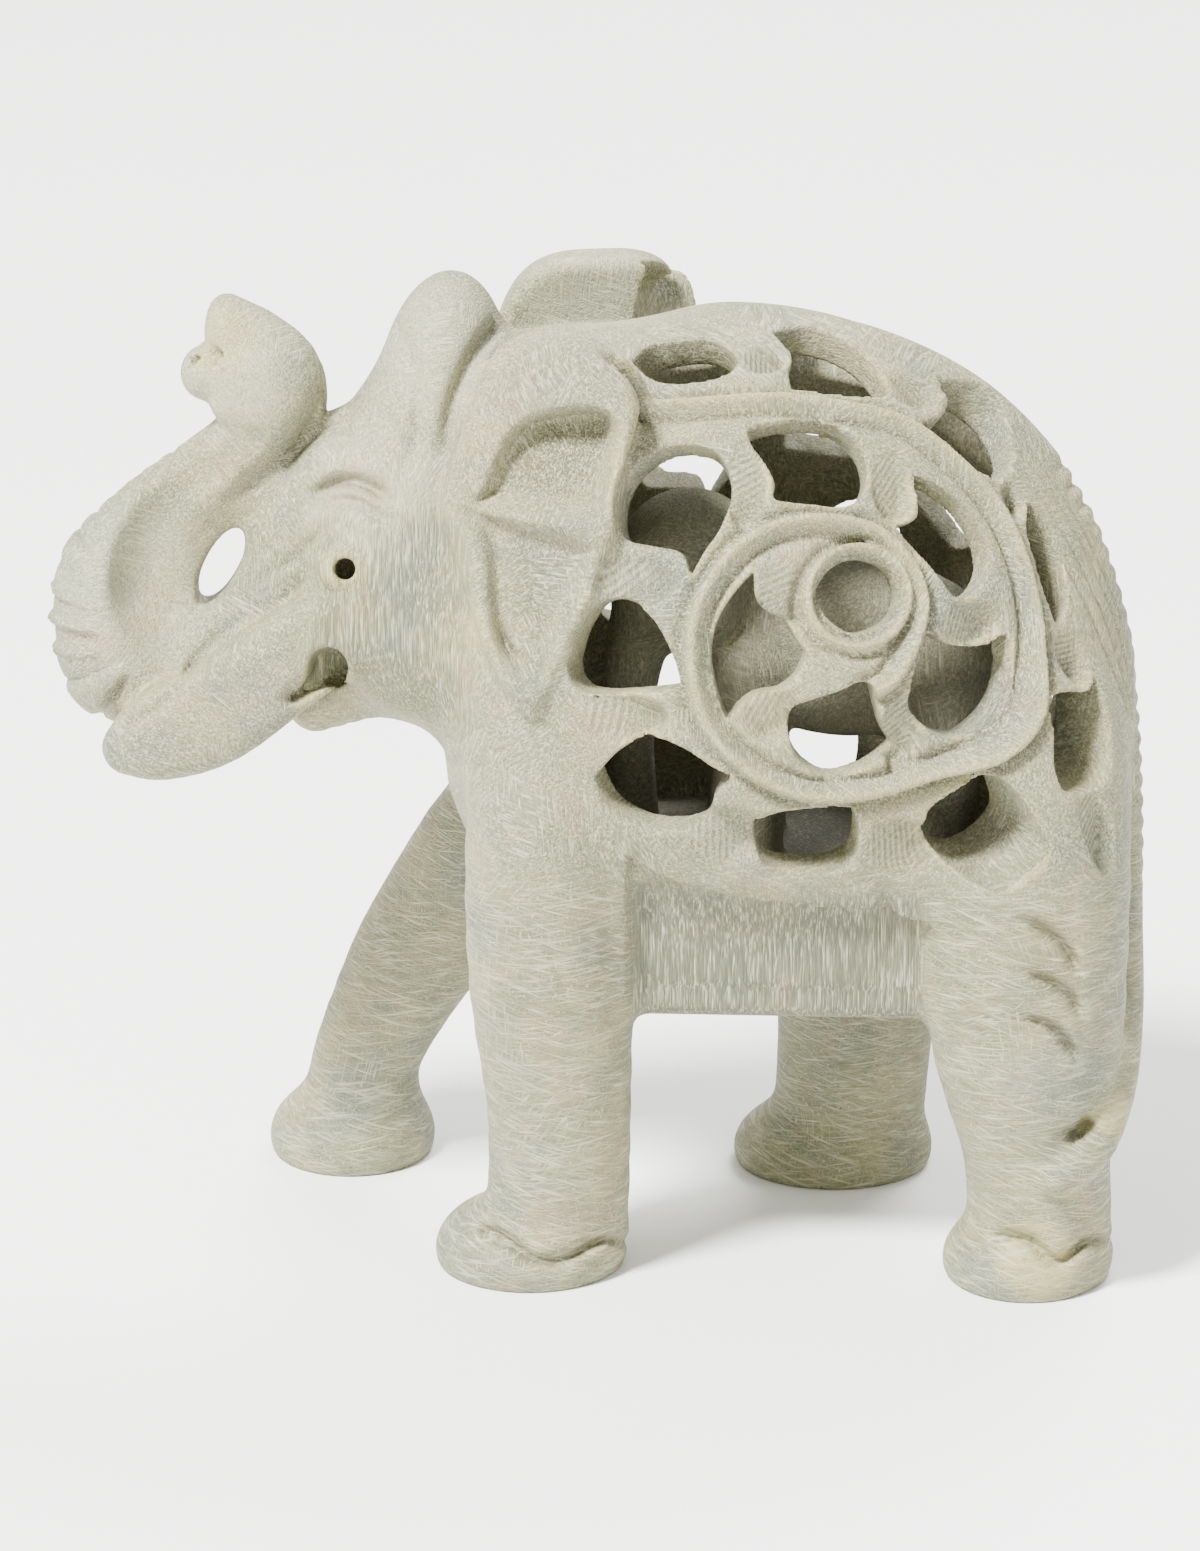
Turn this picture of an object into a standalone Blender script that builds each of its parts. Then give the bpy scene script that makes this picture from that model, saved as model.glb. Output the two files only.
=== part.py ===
"""Soapstone elephant with a calf inside it, both carved from one block.

Metres, +Z up. The soles stand on z = 0, the head points to -X and the left flank to -Y.
Pose, proportions and carving are shares of the height, so a point (x, y, z) below is given in
hundredths of the height. The pierced flank is laid out as an unrolled map: degrees back and
degrees up from the middle of the flank, as seen from the heart of the body.
"""
import math

import bmesh
import bpy
from mathutils import Matrix, Vector

# Driving dimensions, in metres
HEIGHT = 0.100  # floor to the crown of the head, and the measure of every share
WALL = 0.0035  # stone left between the hollow and the outside of the body
STEM_WIDTH = 0.0038  # width of the raised vine that winds over each flank
STEM_PROUD = 0.0008  # how far the vine stands above the flank
EYE_DRILL = 0.0022  # diameter of the drilled eye
EYE_DEPTH = 0.0016
MOUTH_DRILL = 0.0040  # diameter of the drilled corner of the mouth
MOUTH_DEPTH = 0.0040
STONE_COLOUR = (0.56, 0.55, 0.47, 1.0)

# Fineness of the carving: size of the fusing grid, and the share of its faces that is kept
SHARE = HEIGHT / 100
GRID = 1.2 * SHARE
KEPT_FACES = 0.0615
CALF_KEPT_FACES = 0.08

# Body: an egg whose half axes differ to the back and front, and above and below
BODY = (14.0, 0.0, 57.0)
BACK, FRONT, SIDE, TOP, LOW = 40.2, 28.0, 24.2, 39.9, 30.0

# Hollow inside the body: it stops short of the neck and has a floor for the calf to stand on
HOLLOW_FRONT = 16.0
HOLLOW_FLOOR = 17.0
HOLE_INSIDE, HOLE_OUTSIDE = 0.56, 1.30  # where the holes through the wall start and end
HOLE_LEVEL = 0.6  # how level the holes are filed: 0 points at the heart of the body, 1 straight across

# Solid masses that flow into the body, and the web in the trunk's curl: centre, half axes, and
# tilt in degrees about Y
MASSES = [
    ((-2.5, 0.0, 60.0), (13.5, 19.5, 27.0), 0),
    ((-3.0, 0.0, 78.5), (14.5, 15.5, 15.4), 0),
    ((42.5, 0.0, 48.0), (11.9, 20.5, 22.5), 0),
    ((-15.4, 0.0, 87.1), (6.8, 9.6, 13.0), 5),
    ((-20.0, 0.0, 74.0), (10.4, 12.0, 15.0), 14),
    ((-15.5, 0.0, 64.0), (12.5, 13.0, 11.0), 0),
    ((-37.6, 0.0, 70.4), (6.3, 2.4, 12.0), 27),
]
BELLY = ((18.0, 0.0, 39.5), (19.5, 20.5, 12.5))
BELLY_ROUND = 5.0

# Limbs as tapered tubes: x, y, z and radius, from the body down
LEGS = [
    [
        (-2.5, -11, 60, 9.0), (-3.8, -15.5, 44, 8.4), (-3.6, -16.2, 30, 8.3), (-2.9, -16.5, 17, 7.4),
        (-3.0, -16.5, 5, 7.3),
    ],
    [
        (42.0, -8, 54, 12.5), (43.4, -12.5, 40, 11.4), (44.8, -15.5, 24, 9.6), (45.8, -16.5, 14, 7.6),
        (46.3, -16.5, 5, 7.4),
    ],
    [
        (-1.5, 12, 58, 8.5), (-6.4, 14.5, 41.6, 7.8), (-12.2, 15.4, 33.4, 7.4), (-17.4, 16, 25.3, 6.9),
        (-20.9, 16, 19.5, 6.3), (-24.8, 16, 11, 5.5), (-25.6, 16, 5, 5.9),
    ],
    [(37.0, 9, 52, 11.0), (31.5, 13, 38, 10.0), (27.2, 14.7, 26, 8.8), (26.6, 15, 15, 8.0), (26.0, 15, 5, 7.7)],
]
FEET = [
    ((-5.9, -15.9, 1.4), (9.6, 10.2, 5.6)),
    ((44.9, -16.3, 1.4), (8.5, 10.0, 5.3)),
    ((-26.6, 16.2, 1.6), (8.7, 9.9, 5.8)),
    ((24.3, 15.0, 1.5), (10.4, 10.0, 5.6)),
]
JAW = [(-14.5, 0.0, 61.0, 7.2), (-22.0, 0.0, 58.4, 5.1), (-28.6, 0.0, 54.4, 3.2)]
TRUNK = [
    (-24.5, 0, 78, 7.6), (-29.5, 0, 71, 6.6), (-34.0, 0, 64.8, 5.4), (-41.5, 0, 58.4, 5.9), (-48.2, 0, 59.0, 6.8),
    (-49.4, 0, 66.3, 6.2), (-45.0, 0, 72.6, 5.5), (-39.4, 0, 77.6, 4.7), (-33.8, 0, 82.4, 4.8), (-33.0, 0, 88.0, 5.7),
    (-35.2, 0, 92.6, 4.6),
]
TRUNK_TIP = [
    ((-34.8, 0.0, 89.4), (5.0, 5.2, 5.2), 0),
    ((-36.8, 0.0, 94.2), (2.4, 4.0, 3.3), -20),
    ((-39.2, 0.0, 89.4), (2.8, 4.0, 2.9), 30),
]
TRUNK_LOOP = ((-38.1, 0.0, 69.2), (1.9, 4.6), 22)  # the gap inside the curl: centre, half sizes, tilt

# Tusk, laid out in the middle plane: it is pressed flat and then moved out to its side
TUSK = [(-24.0, 0, 66, 4.8), (-31.0, 0, 61.2, 5.0), (-38.2, 0, 55.9, 5.4), (-43.4, 0, 53.5, 4.8)]
TUSK_TIP = ((-45.0, 0.0, 52.8), (4.4, 4.2, 4.5))
TUSK_OUT, TUSK_FLAT = 8.0, 0.76
TAIL = [
    (51.4, 0, 67.4, 2.2), (53.0, 0, 58, 2.3), (53.6, 0, 46, 2.4), (53.4, 0, 33, 2.6), (52.4, -5, 22.5, 2.6),
    (51.2, -12, 17, 2.4), (49.6, -18.4, 13.8, 1.8),
]
SPINE = [
    (14.0, 0, 95.4, 1.8), (28.0, 0, 93.2, 2.0), (37.6, 0, 88.5, 2.2), (44.6, 0, 81.9, 2.2), (48.8, 0, 75, 2.2),
    (51.4, 0, 67.4, 2.2),
]

# Ears: outlines in the side view, the slope of their plane, and the scoops that hollow their faces
LEFT_EAR = [
    (-13.6, 77.0), (-12.4, 84), (-10.6, 92), (-7.6, 96.6), (-3.0, 98.0), (1.2, 96.8), (4.0, 92.5), (4.6, 88.0),
    (3.2, 80.0), (2.4, 74.0), (0.2, 66.5), (-4.0, 58.5), (-7.6, 60.5), (-11.0, 69),
]
RIGHT_EAR = [
    (-9.6, 62), (-10.8, 76), (-11.4, 88), (-9.9, 94.4), (-7.7, 97.6), (-4.5, 99.1), (0.0, 99.2), (3.6, 98.8),
    (6.8, 97.8), (8.6, 94.4), (8.8, 88), (7.0, 78), (3.0, 66), (-4.0, 57),
]
EAR_MIDDLE = (-3.0, 15.7, 78.0)
EAR_THICK = 7.0
EAR_SLOPE_BACK, EAR_SLOPE_UP = 0.30, -0.22
EAR_SCOOPS = [  # centre as x, z and height above the ear's mid-plane, then half axes the same way
    ((-2.6, 86.0, 4.6), (5.6, 8.0, 3.6)),
    ((-5.4, 69.0, 4.4), (3.2, 9.0, 2.8)),
]

# Vine and holes on the flank, in degrees back and up from its middle
RIGHT_DROP = 4.5  # how much lower the same pattern lies on the right flank
VINE = [
    (-19, 54), (2, 55), (18, 55), (37, 49), (47, 34), (48, 17), (39, 4), (29, -4), (15, -8), (3, -1), (-5, 9),
    (-8, 24), (1, 32), (12, 35), (24, 33), (29, 22), (27, 13), (21, 9),
]
HOLES = [
    [(-24, 63), (-22, 69), (-14, 73), (-5, 72), (1, 66), (-10, 61)],
    [(8, 75), (14, 79), (21, 77), (26, 71), (28, 62), (20, 60), (11, 60), (11, 68)],
    [(42, 69), (51, 68), (57, 62), (55, 54), (49, 44), (43, 48), (35, 54), (41, 60)],
    [(55, 41), (60, 35), (61, 28), (59, 21), (55, 18), (54, 25), (53, 33)],
    [(46, 9), (55, 10), (52, 4), (48, -2), (44, -4), (41, -1)],
    [(36, -4), (37, -10), (34, -15), (30, -18), (27, -16), (30, -9)],
    [(5, -15), (9, -12), (18, -12), (19, -18), (14, -23), (7, -21)],
    [(-25, -4), (-20, 1), (-13, 2), (1, -4), (-4, -12), (-12, -16), (-21, -11)],
    [(-30, 12), (-28, 18), (-23, 22), (-15, 20), (-9, 10), (-18, 9)],
    [(-23, 35), (-20, 43), (-14, 48), (-5, 47), (0, 42), (-1, 34), (-7, 27), (-12, 31)],
    [(3, 51), (10, 53), (19, 52), (22, 46), (19, 39), (11, 38), (6, 42)],
    [(30, 44), (37, 42), (41, 34), (40, 25), (35, 25), (26, 35)],
    [(31, 18), (37, 16), (44, 17), (41, 8), (34, 3), (28, 6)],
    [(10, 6), (15, 9), (21, 9), (25, 1), (19, -3), (12, -1)],
    [(4, 26), (6, 21), (12, 15), (8, 10), (1, 5), (-2, 11), (-3, 18)],
    [(26, 23), (21, 18), (15, 20), (14, 26), (20, 30)],
]

# Calf: masses as above, then legs and trunk as tubes
CALF_MASSES = [
    ((26.0, 0.0, 61.5), (14.0, 7.4, 9.5), 0),
    ((35.0, 0.0, 58.0), (6.5, 7.0, 9.5), 0),
    ((9.4, 0.0, 69.2), (7.8, 5.8, 8.6), 12),
    ((12.5, 0.0, 67.0), (3.0, 8.2, 6.0), 0),
]
CALF_TUBES = [
    [(7.0, 0, 68, 4.2), (4.2, 0, 61, 3.2), (3.4, 0, 52, 2.6), (4.0, 0, 38, 3.0)],
    [(16.0, -4.0, 60, 4.2), (15.5, -4.0, 38, 3.8)],
    [(16.0, 4.0, 60, 4.2), (15.5, 4.0, 38, 3.8)],
    [(35.0, -4.0, 58, 4.6), (35.5, -4.0, 38, 3.8)],
    [(35.0, 4.0, 58, 4.6), (35.5, 4.0, 38, 3.8)],
]

EYE = (-24.6, 11.0, 72.0)
MOUTH = (-26.0, 9.0, 60.6)
SPAN = 200.0  # longer than the whole figure, for cutters that pass right through


def clear_scene():
    """Remove every object that the file starts with."""
    for thing in list(bpy.data.objects):
        bpy.data.objects.remove(thing, do_unlink=True)


def collection(name):
    """Return a new collection linked to the scene."""
    made = bpy.data.collections.new(name)
    bpy.context.scene.collection.children.link(made)
    return made


def stone():
    """Return the material of the whole figure: filed, unpolished soapstone."""
    material = bpy.data.materials.new("filed soapstone")
    material.use_nodes = True
    shader = material.node_tree.nodes["Principled BSDF"]
    shader.inputs["Base Color"].default_value = STONE_COLOUR
    shader.inputs["Roughness"].default_value = 0.7
    shader.inputs["Metallic"].default_value = 0.0
    return material


def add_ellipsoid(mesh, centre, half, tilt=0, rings=14):
    """Add a ball stretched to its half axes; tilt turns its top towards +X."""
    turn = Matrix.Rotation(math.radians(tilt), 4, "Y")
    place = Matrix.Translation(Vector(centre) * SHARE) @ turn @ Matrix.Diagonal((*[a * SHARE for a in half], 1.0))
    bmesh.ops.create_uvsphere(mesh, u_segments=2 * rings, v_segments=rings, radius=1.0, matrix=place)


def add_egg(mesh, back, front, side, top, low, rings=24):
    """Add an egg about the body's centre, with its own half axis in each direction, in metres."""
    made = bmesh.ops.create_uvsphere(mesh, u_segments=2 * rings, v_segments=rings, radius=1.0)
    for vertex in made["verts"]:
        x, y, z = vertex.co
        reach = Vector((x * (back if x > 0 else front), y * side, z * (top if z > 0 else low)))
        vertex.co = Vector(BODY) * SHARE + reach


def add_rounded_box(mesh, centre, half, rounding):
    """Add a box with rounded edges."""
    place = Matrix.Translation(Vector(centre) * SHARE) @ Matrix.Diagonal((*[2 * a * SHARE for a in half], 1.0))
    made = bmesh.ops.create_cube(mesh, size=1.0, matrix=place)
    edges = {edge for vertex in made["verts"] for edge in vertex.link_edges}
    bmesh.ops.bevel(mesh, geom=list(edges), offset=rounding * SHARE, segments=3, profile=0.5, affect="EDGES")


def curve_mesh(data):
    """Turn curve data into a welded mesh and remove the curve."""
    guide = bpy.data.objects.new("guide", data)
    bpy.context.scene.collection.objects.link(guide)
    found = guide.evaluated_get(bpy.context.evaluated_depsgraph_get())
    made = bpy.data.meshes.new_from_object(found)
    bpy.data.objects.remove(guide, do_unlink=True)
    bpy.data.curves.remove(data)
    welded = bmesh.new()
    welded.from_mesh(made)
    bmesh.ops.remove_doubles(welded, verts=welded.verts, dist=0.00001)
    welded.to_mesh(made)
    welded.free()
    return made


def smooth_spline(data, points, closed=False):
    """Add one smooth spline through the points to curve data."""
    spline = data.splines.new("BEZIER")
    spline.bezier_points.add(len(points) - 1)
    spline.use_cyclic_u = closed
    for knot, point in zip(spline.bezier_points, points):
        knot.co = point
        knot.handle_left_type = knot.handle_right_type = "AUTO"
    return spline


def add_tube(mesh, points, steps=4, sides=3):
    """Add a closed tapered tube; each point is x, y, z and radius in shares of the height."""
    data = bpy.data.curves.new("tube", "CURVE")
    data.dimensions = "3D"
    data.bevel_depth = 1.0
    data.bevel_resolution = sides
    data.use_fill_caps = True
    data.resolution_u = steps
    spline = smooth_spline(data, [Vector(point[:3]) * SHARE for point in points])
    for knot, point in zip(spline.bezier_points, points):
        knot.radius = point[3] * SHARE
    made = curve_mesh(data)
    mesh.from_mesh(made)
    bpy.data.meshes.remove(made)


def outline_mesh(points, half_thickness, steps):
    """Return the mesh of a flat closed outline in X and Y, extruded both ways along Z."""
    data = bpy.data.curves.new("outline", "CURVE")
    data.dimensions = "2D"
    data.fill_mode = "BOTH"
    data.extrude = half_thickness
    data.resolution_u = steps
    smooth_spline(data, [(x, y, 0.0) for x, y in points], closed=True)
    return curve_mesh(data)


def add_tusk(mesh, side):
    """Add one tusk, pressed flat across and moved out to its side."""
    tusk = bmesh.new()
    add_tube(tusk, TUSK)
    add_ellipsoid(tusk, *TUSK_TIP)
    place = Matrix.Translation((0, side * TUSK_OUT * SHARE, 0)) @ Matrix.Diagonal((1, TUSK_FLAT, 1, 1))
    tusk.transform(place)
    made = bpy.data.meshes.new("tusk")
    tusk.to_mesh(made)
    tusk.free()
    mesh.from_mesh(made)
    bpy.data.meshes.remove(made)


def add_ear(mesh, side):
    """Add one ear: its outline as a thick slab whose plane leans out to the back and in at the top."""
    made = outline_mesh(LEFT_EAR if side < 0 else RIGHT_EAR, EAR_THICK / 2, 3)
    made.transform(ear_place(side))
    mesh.from_mesh(made)
    bpy.data.meshes.remove(made)


def ear_place(side):
    """Return the turn from an ear's own x, z and height above its mid-plane to its place on the head."""
    x, y, z = EAR_MIDDLE
    flat = Matrix.Translation((-x, -z, 0))
    lean = Matrix(((1, 0, 0, 0), (EAR_SLOPE_BACK, EAR_SLOPE_UP, 1, 0), (0, 1, 0, 0), (0, 0, 0, 1)))
    return Matrix.Diagonal((1, side, 1, 1)) @ Matrix.Scale(SHARE, 4) @ Matrix.Translation((x, y, z)) @ lean @ flat


def on_flank(back, up, depth, side, level=0.0):
    """Return the point of the flank's map at a depth: 1 is the egg's surface and 0 its middle plane."""
    if side > 0:
        up -= math.degrees(RIGHT_DROP / (TOP if up > 0 else LOW))
    angle = math.radians(math.hypot(back, up))
    turn = math.atan2(up, back)
    spread = math.sin(angle) * (level + depth * (1 - level))
    x, z = spread * math.cos(turn), spread * math.sin(turn)
    y = side * depth * math.cos(angle)
    return (Vector(BODY) + Vector((x * (BACK if x > 0 else FRONT), y * SIDE, z * (TOP if z > 0 else LOW)))) * SHARE


def make_object(name, mesh, home):
    """Write a bmesh with its faces turned outwards to a new object in a collection."""
    bmesh.ops.recalc_face_normals(mesh, faces=mesh.faces)
    data = bpy.data.meshes.new(name)
    mesh.to_mesh(data)
    mesh.free()
    made = bpy.data.objects.new(name, data)
    home.objects.link(made)
    return made


def as_cutter(thing):
    """Mark an object as a cutter, which is never part of the figure."""
    thing.hide_render = True
    thing.display_type = "WIRE"
    return thing


def fuse(thing, kept_faces, rounds):
    """Fuse overlapping bodies into one skin, soften the joins and thin the faces."""
    skin = thing.modifiers.new("one skin", "REMESH")
    skin.mode = "VOXEL"
    skin.voxel_size = GRID
    soften = thing.modifiers.new("soften", "SMOOTH")
    soften.factor = 0.5
    soften.iterations = rounds
    thin = thing.modifiers.new("thin", "DECIMATE")
    thin.ratio = kept_faces


def combine(thing, other, operation):
    """Add one exact Boolean step to an object."""
    step = thing.modifiers.new(operation.lower() + " " + other.name, "BOOLEAN")
    step.operation = operation
    step.solver = "EXACT"
    step.object = other


def outer_form(home):
    """Return the elephant's outer form, before anything is cut out of it."""
    mesh = bmesh.new()
    add_egg(mesh, *[a * SHARE for a in (BACK, FRONT, SIDE, TOP, LOW)])
    for centre, half, tilt in MASSES + TRUNK_TIP:
        add_ellipsoid(mesh, centre, half, tilt)
    add_rounded_box(mesh, *BELLY, BELLY_ROUND)
    for centre, half in FEET:
        add_ellipsoid(mesh, centre, half)
    for line in LEGS:
        add_ellipsoid(mesh, line[0][:3], [line[0][3]] * 3)
    for line in LEGS + [JAW, TRUNK, SPINE, TAIL]:
        add_tube(mesh, line)
    for side in (-1, 1):
        add_tusk(mesh, side)
        add_ear(mesh, side)
    made = make_object("elephant", mesh, home)
    fuse(made, KEPT_FACES, 3)
    return made


def vine(home):
    """Return the raised vine of both flanks, as rounded ribs sunk into the surface."""
    mesh = bmesh.new()
    radius = STEM_WIDTH / 2 / SHARE
    sink = (radius - STEM_PROUD / SHARE) / SIDE
    for side in (-1, 1):
        line = [(*(on_flank(back, up, 1 - sink, side) / SHARE), radius) for back, up in VINE]
        add_tube(mesh, line, steps=2, sides=1)
    return as_cutter(make_object("vine", mesh, home))


def calf(home):
    """Return the calf, whose feet and trunk run down into the floor of the hollow."""
    mesh = bmesh.new()
    for centre, half, tilt in CALF_MASSES:
        add_ellipsoid(mesh, centre, half, tilt)
    for line in CALF_TUBES:
        add_tube(mesh, line)
    made = as_cutter(make_object("calf", mesh, home))
    fuse(made, CALF_KEPT_FACES, 2)
    return made


def hollow(home, standing):
    """Return the hollow of the body, less the calf that is left standing in it."""
    mesh = bmesh.new()
    back, side, top = BACK * SHARE - WALL, SIDE * SHARE - WALL, TOP * SHARE - WALL
    add_egg(mesh, back, HOLLOW_FRONT * SHARE, side, top, HOLLOW_FLOOR * SHARE, rings=10)
    made = as_cutter(make_object("hollow", mesh, home))
    combine(made, standing, "DIFFERENCE")
    return made


def holes(home):
    """Return the cutters of every hole in both flanks."""
    mesh = bmesh.new()
    for side in (-1, 1):
        for outline in HOLES:
            made = outline_mesh(outline, 0.5, 2)
            for vertex in made.vertices:
                depth = HOLE_OUTSIDE if vertex.co.z > 0 else HOLE_INSIDE
                vertex.co = on_flank(vertex.co.x, vertex.co.y, depth, side, HOLE_LEVEL)
            mesh.from_mesh(made)
            bpy.data.meshes.remove(made)
    return as_cutter(make_object("holes", mesh, home))


def gouges(home):
    """Return the cutters of the ears' faces, the eyes, the corners of the mouth and the trunk's curl."""
    mesh = bmesh.new()
    for side in (-1, 1):
        for centre, half in EAR_SCOOPS:
            place = ear_place(side) @ Matrix.Translation(centre) @ Matrix.Diagonal((*half, 1.0))
            bmesh.ops.create_uvsphere(mesh, u_segments=16, v_segments=8, radius=1.0, matrix=place)
    centre, half, tilt = TRUNK_LOOP
    turn = Matrix.Rotation(math.radians(tilt), 4, "Y") @ Matrix.Diagonal((half[0] * SHARE, 1, half[1] * SHARE, 1))
    place = Matrix.Translation(Vector(centre) * SHARE) @ turn @ Matrix.Rotation(math.radians(90), 4, "X")
    bmesh.ops.create_cone(mesh, cap_ends=True, segments=16, radius1=1, radius2=1, depth=30 * SHARE, matrix=place)
    return as_cutter(make_object("gouges", mesh, home))


def drills(home):
    """Return the cutters of the eyes and of the corners of the mouth."""
    mesh = bmesh.new()
    for centre, width, depth in ((EYE, EYE_DRILL, EYE_DEPTH), (MOUTH, MOUTH_DRILL, MOUTH_DEPTH)):
        for side in (-1, 1):
            spot = Vector((centre[0], side * centre[1], centre[2])) * SHARE
            place = Matrix.Translation(spot) @ Matrix.Rotation(math.radians(90), 4, "X")
            bmesh.ops.create_cone(mesh, cap_ends=True, segments=8, radius1=width / 2, radius2=width / 2,
                                  depth=2 * depth, matrix=place)
    return as_cutter(make_object("drills", mesh, home))


def floor_block(home):
    """Return the block below the floor that cuts the soles flat."""
    mesh = bmesh.new()
    place = Matrix.Translation((0, 0, -SPAN / 2 * SHARE)) @ Matrix.Scale(SPAN * SHARE, 4)
    bmesh.ops.create_cube(mesh, size=1.0, matrix=place)
    return as_cutter(make_object("floor block", mesh, home))


def main():
    """Build the figure: the outer form first, then each cut in the order a carver makes it."""
    clear_scene()
    parts, cutters = collection("soapstone elephant"), collection("cutters")
    elephant = outer_form(parts)
    elephant.data.materials.append(stone())
    combine(elephant, vine(cutters), "UNION")
    for cutter in (floor_block(cutters), gouges(cutters), drills(cutters)):
        combine(elephant, cutter, "DIFFERENCE")
    combine(elephant, hollow(cutters, calf(cutters)), "DIFFERENCE")
    combine(elephant, holes(cutters), "DIFFERENCE")


main()
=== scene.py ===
"""Soapstone elephant: a striding figure with a hollow, pierced body and a calf inside it.

The stone is one skin. Every form adds to a distance field in millimetres, the zero level of the
field is turned into quads, and the quads are thinned to a mesh of under 200,000 triangles.
The pierced vine on the flanks and the lines on the head and legs are drawn in the units of the
side view and laid on the form along the line of sight.
"""
import logging
import math
from dataclasses import dataclass
from enum import Enum

import bpy
import numpy as np
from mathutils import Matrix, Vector


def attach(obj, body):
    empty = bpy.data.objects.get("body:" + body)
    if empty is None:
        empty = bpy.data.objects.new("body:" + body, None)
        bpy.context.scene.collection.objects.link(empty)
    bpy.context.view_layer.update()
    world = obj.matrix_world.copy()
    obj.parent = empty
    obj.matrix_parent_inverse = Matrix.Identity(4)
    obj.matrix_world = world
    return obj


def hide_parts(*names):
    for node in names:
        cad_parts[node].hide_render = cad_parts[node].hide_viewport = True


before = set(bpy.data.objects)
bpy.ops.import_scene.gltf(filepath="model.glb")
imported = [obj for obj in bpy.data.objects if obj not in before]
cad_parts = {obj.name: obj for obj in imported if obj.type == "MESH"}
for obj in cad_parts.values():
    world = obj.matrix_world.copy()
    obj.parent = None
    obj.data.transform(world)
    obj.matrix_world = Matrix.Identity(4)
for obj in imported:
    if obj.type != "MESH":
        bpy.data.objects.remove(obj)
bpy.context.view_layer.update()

LOG = logging.getLogger("elephant")
MM = 0.001
TINY = 1e-9
PITCH, QUICK_PITCH = 0.35, 0.8  # of the grid, in millimetres

Array = np.ndarray
Socket = bpy.types.NodeSocket
Place = tuple[float, float, float]
Knot = tuple[float, float, float, float]
Span = tuple[float, float, float, float]


class Side(Enum):
    """Sides of the figure, by the sign of Y."""

    LEFT = -1
    RIGHT = 1


# Small maths


def ease(low: float, high: float, value: Array) -> Array:
    """Smooth step from 0 at low to 1 at high."""
    t = np.clip((value - low) / (high - low), 0.0, 1.0)
    return t * t * (3.0 - 2.0 * t)


def within(value: Array, start: float, full: float, fading: float, end: float) -> Array:
    """1 from full to fading and 0 outside start and end, smooth between them."""
    return ease(start, full, value) * (1 - ease(fading, end, value))


def bell(value: Array, middle: float, wide: float) -> Array:
    """exp(-d^2), with d the distance from the middle over wide."""
    return np.exp(-(((value - middle) / wide) ** 2))


def union(a: Array, b: Array, blend: float) -> Array:
    """Join two distance fields with a fillet of about the given size.

    Args:
        a: First field.
        b: Second field.
        blend: Fillet size in millimetres.

    Returns:
        min(a, b) - h^2 * blend / 4, where h = max(blend - |a - b|, 0) / blend.
    """
    if blend <= 0:
        return np.minimum(a, b)
    h = np.maximum(blend - np.abs(a - b), 0.0) / blend
    return np.minimum(a, b) - h * h * blend * 0.25


def overlap(a: Array, b: Array, blend: float) -> Array:
    """Keep what is in both fields, with the edge rounded by blend."""
    return -union(-a, -b, blend)


def spline(points: Array, steps: int, closed: bool = False, corners: Array | None = None) -> Array:
    """Catmull-Rom curve through points.

    Args:
        points: Rows of coordinates, in any number of dimensions.
        steps: Pieces between two neighbouring points.
        closed: Whether the last point joins the first.
        corners: For each point, whether the curve turns sharply there.

    Returns:
        Rows of points along the curve.
    """
    p = np.asarray(points, float)
    n = len(p)
    sharp = np.zeros(n, bool) if corners is None else corners
    rows = []
    t = (np.arange(steps) / steps)[:, None]
    for i in range(n if closed else n - 1):
        j = (i + 1) % n
        b, c = p[i], p[j]
        a = 2 * b - c if sharp[i] or (not closed and i == 0) else p[i - 1]
        d = 2 * c - b if sharp[j] or (not closed and j == n - 1) else p[(j + 1) % n]
        cubic = (3 * b - a - 3 * c + d) * t**3
        rows.append(0.5 * (2 * b + (c - a) * t + (2 * a - 5 * b + 4 * c - d) * t**2 + cubic))
    if not closed:
        rows.append(p[-1:])
    return np.concatenate(rows)


def line_distance(u: Array, v: Array, line: Array) -> tuple[Array, Array]:
    """Distance in a plane to a run of segments, and the length along the run at the nearest point."""
    best = np.full(np.broadcast(u, v).shape, 1e9)
    along = np.zeros_like(best)
    start = 0.0
    for (ax, ay), (bx, by) in zip(line[:-1], line[1:]):
        ex, ey = bx - ax, by - ay
        size = math.hypot(ex, ey) + TINY
        t = np.clip(((u - ax) * ex + (v - ay) * ey) / size**2, 0, 1)
        d = np.hypot(u - ax - t * ex, v - ay - t * ey)
        near = d < best
        best = np.where(near, d, best)
        along = np.where(near, start + t * size, along)
        start += size
    return best, along


def outline_distance(u: Array, v: Array, loop: Array) -> Array:
    """Signed distance in a plane to a closed outline, negative inside."""
    ring = np.concatenate([loop, loop[:1]])
    distance, _ = line_distance(u, v, ring)
    inside = np.zeros(distance.shape, bool)
    for (ax, ay), (bx, by) in zip(ring[:-1], ring[1:]):
        if ay != by:
            inside ^= ((ay > v) != (by > v)) & (u < (bx - ax) * (v - ay) / (by - ay) + ax)
    return np.where(inside, -distance, distance)


# The side view


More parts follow.
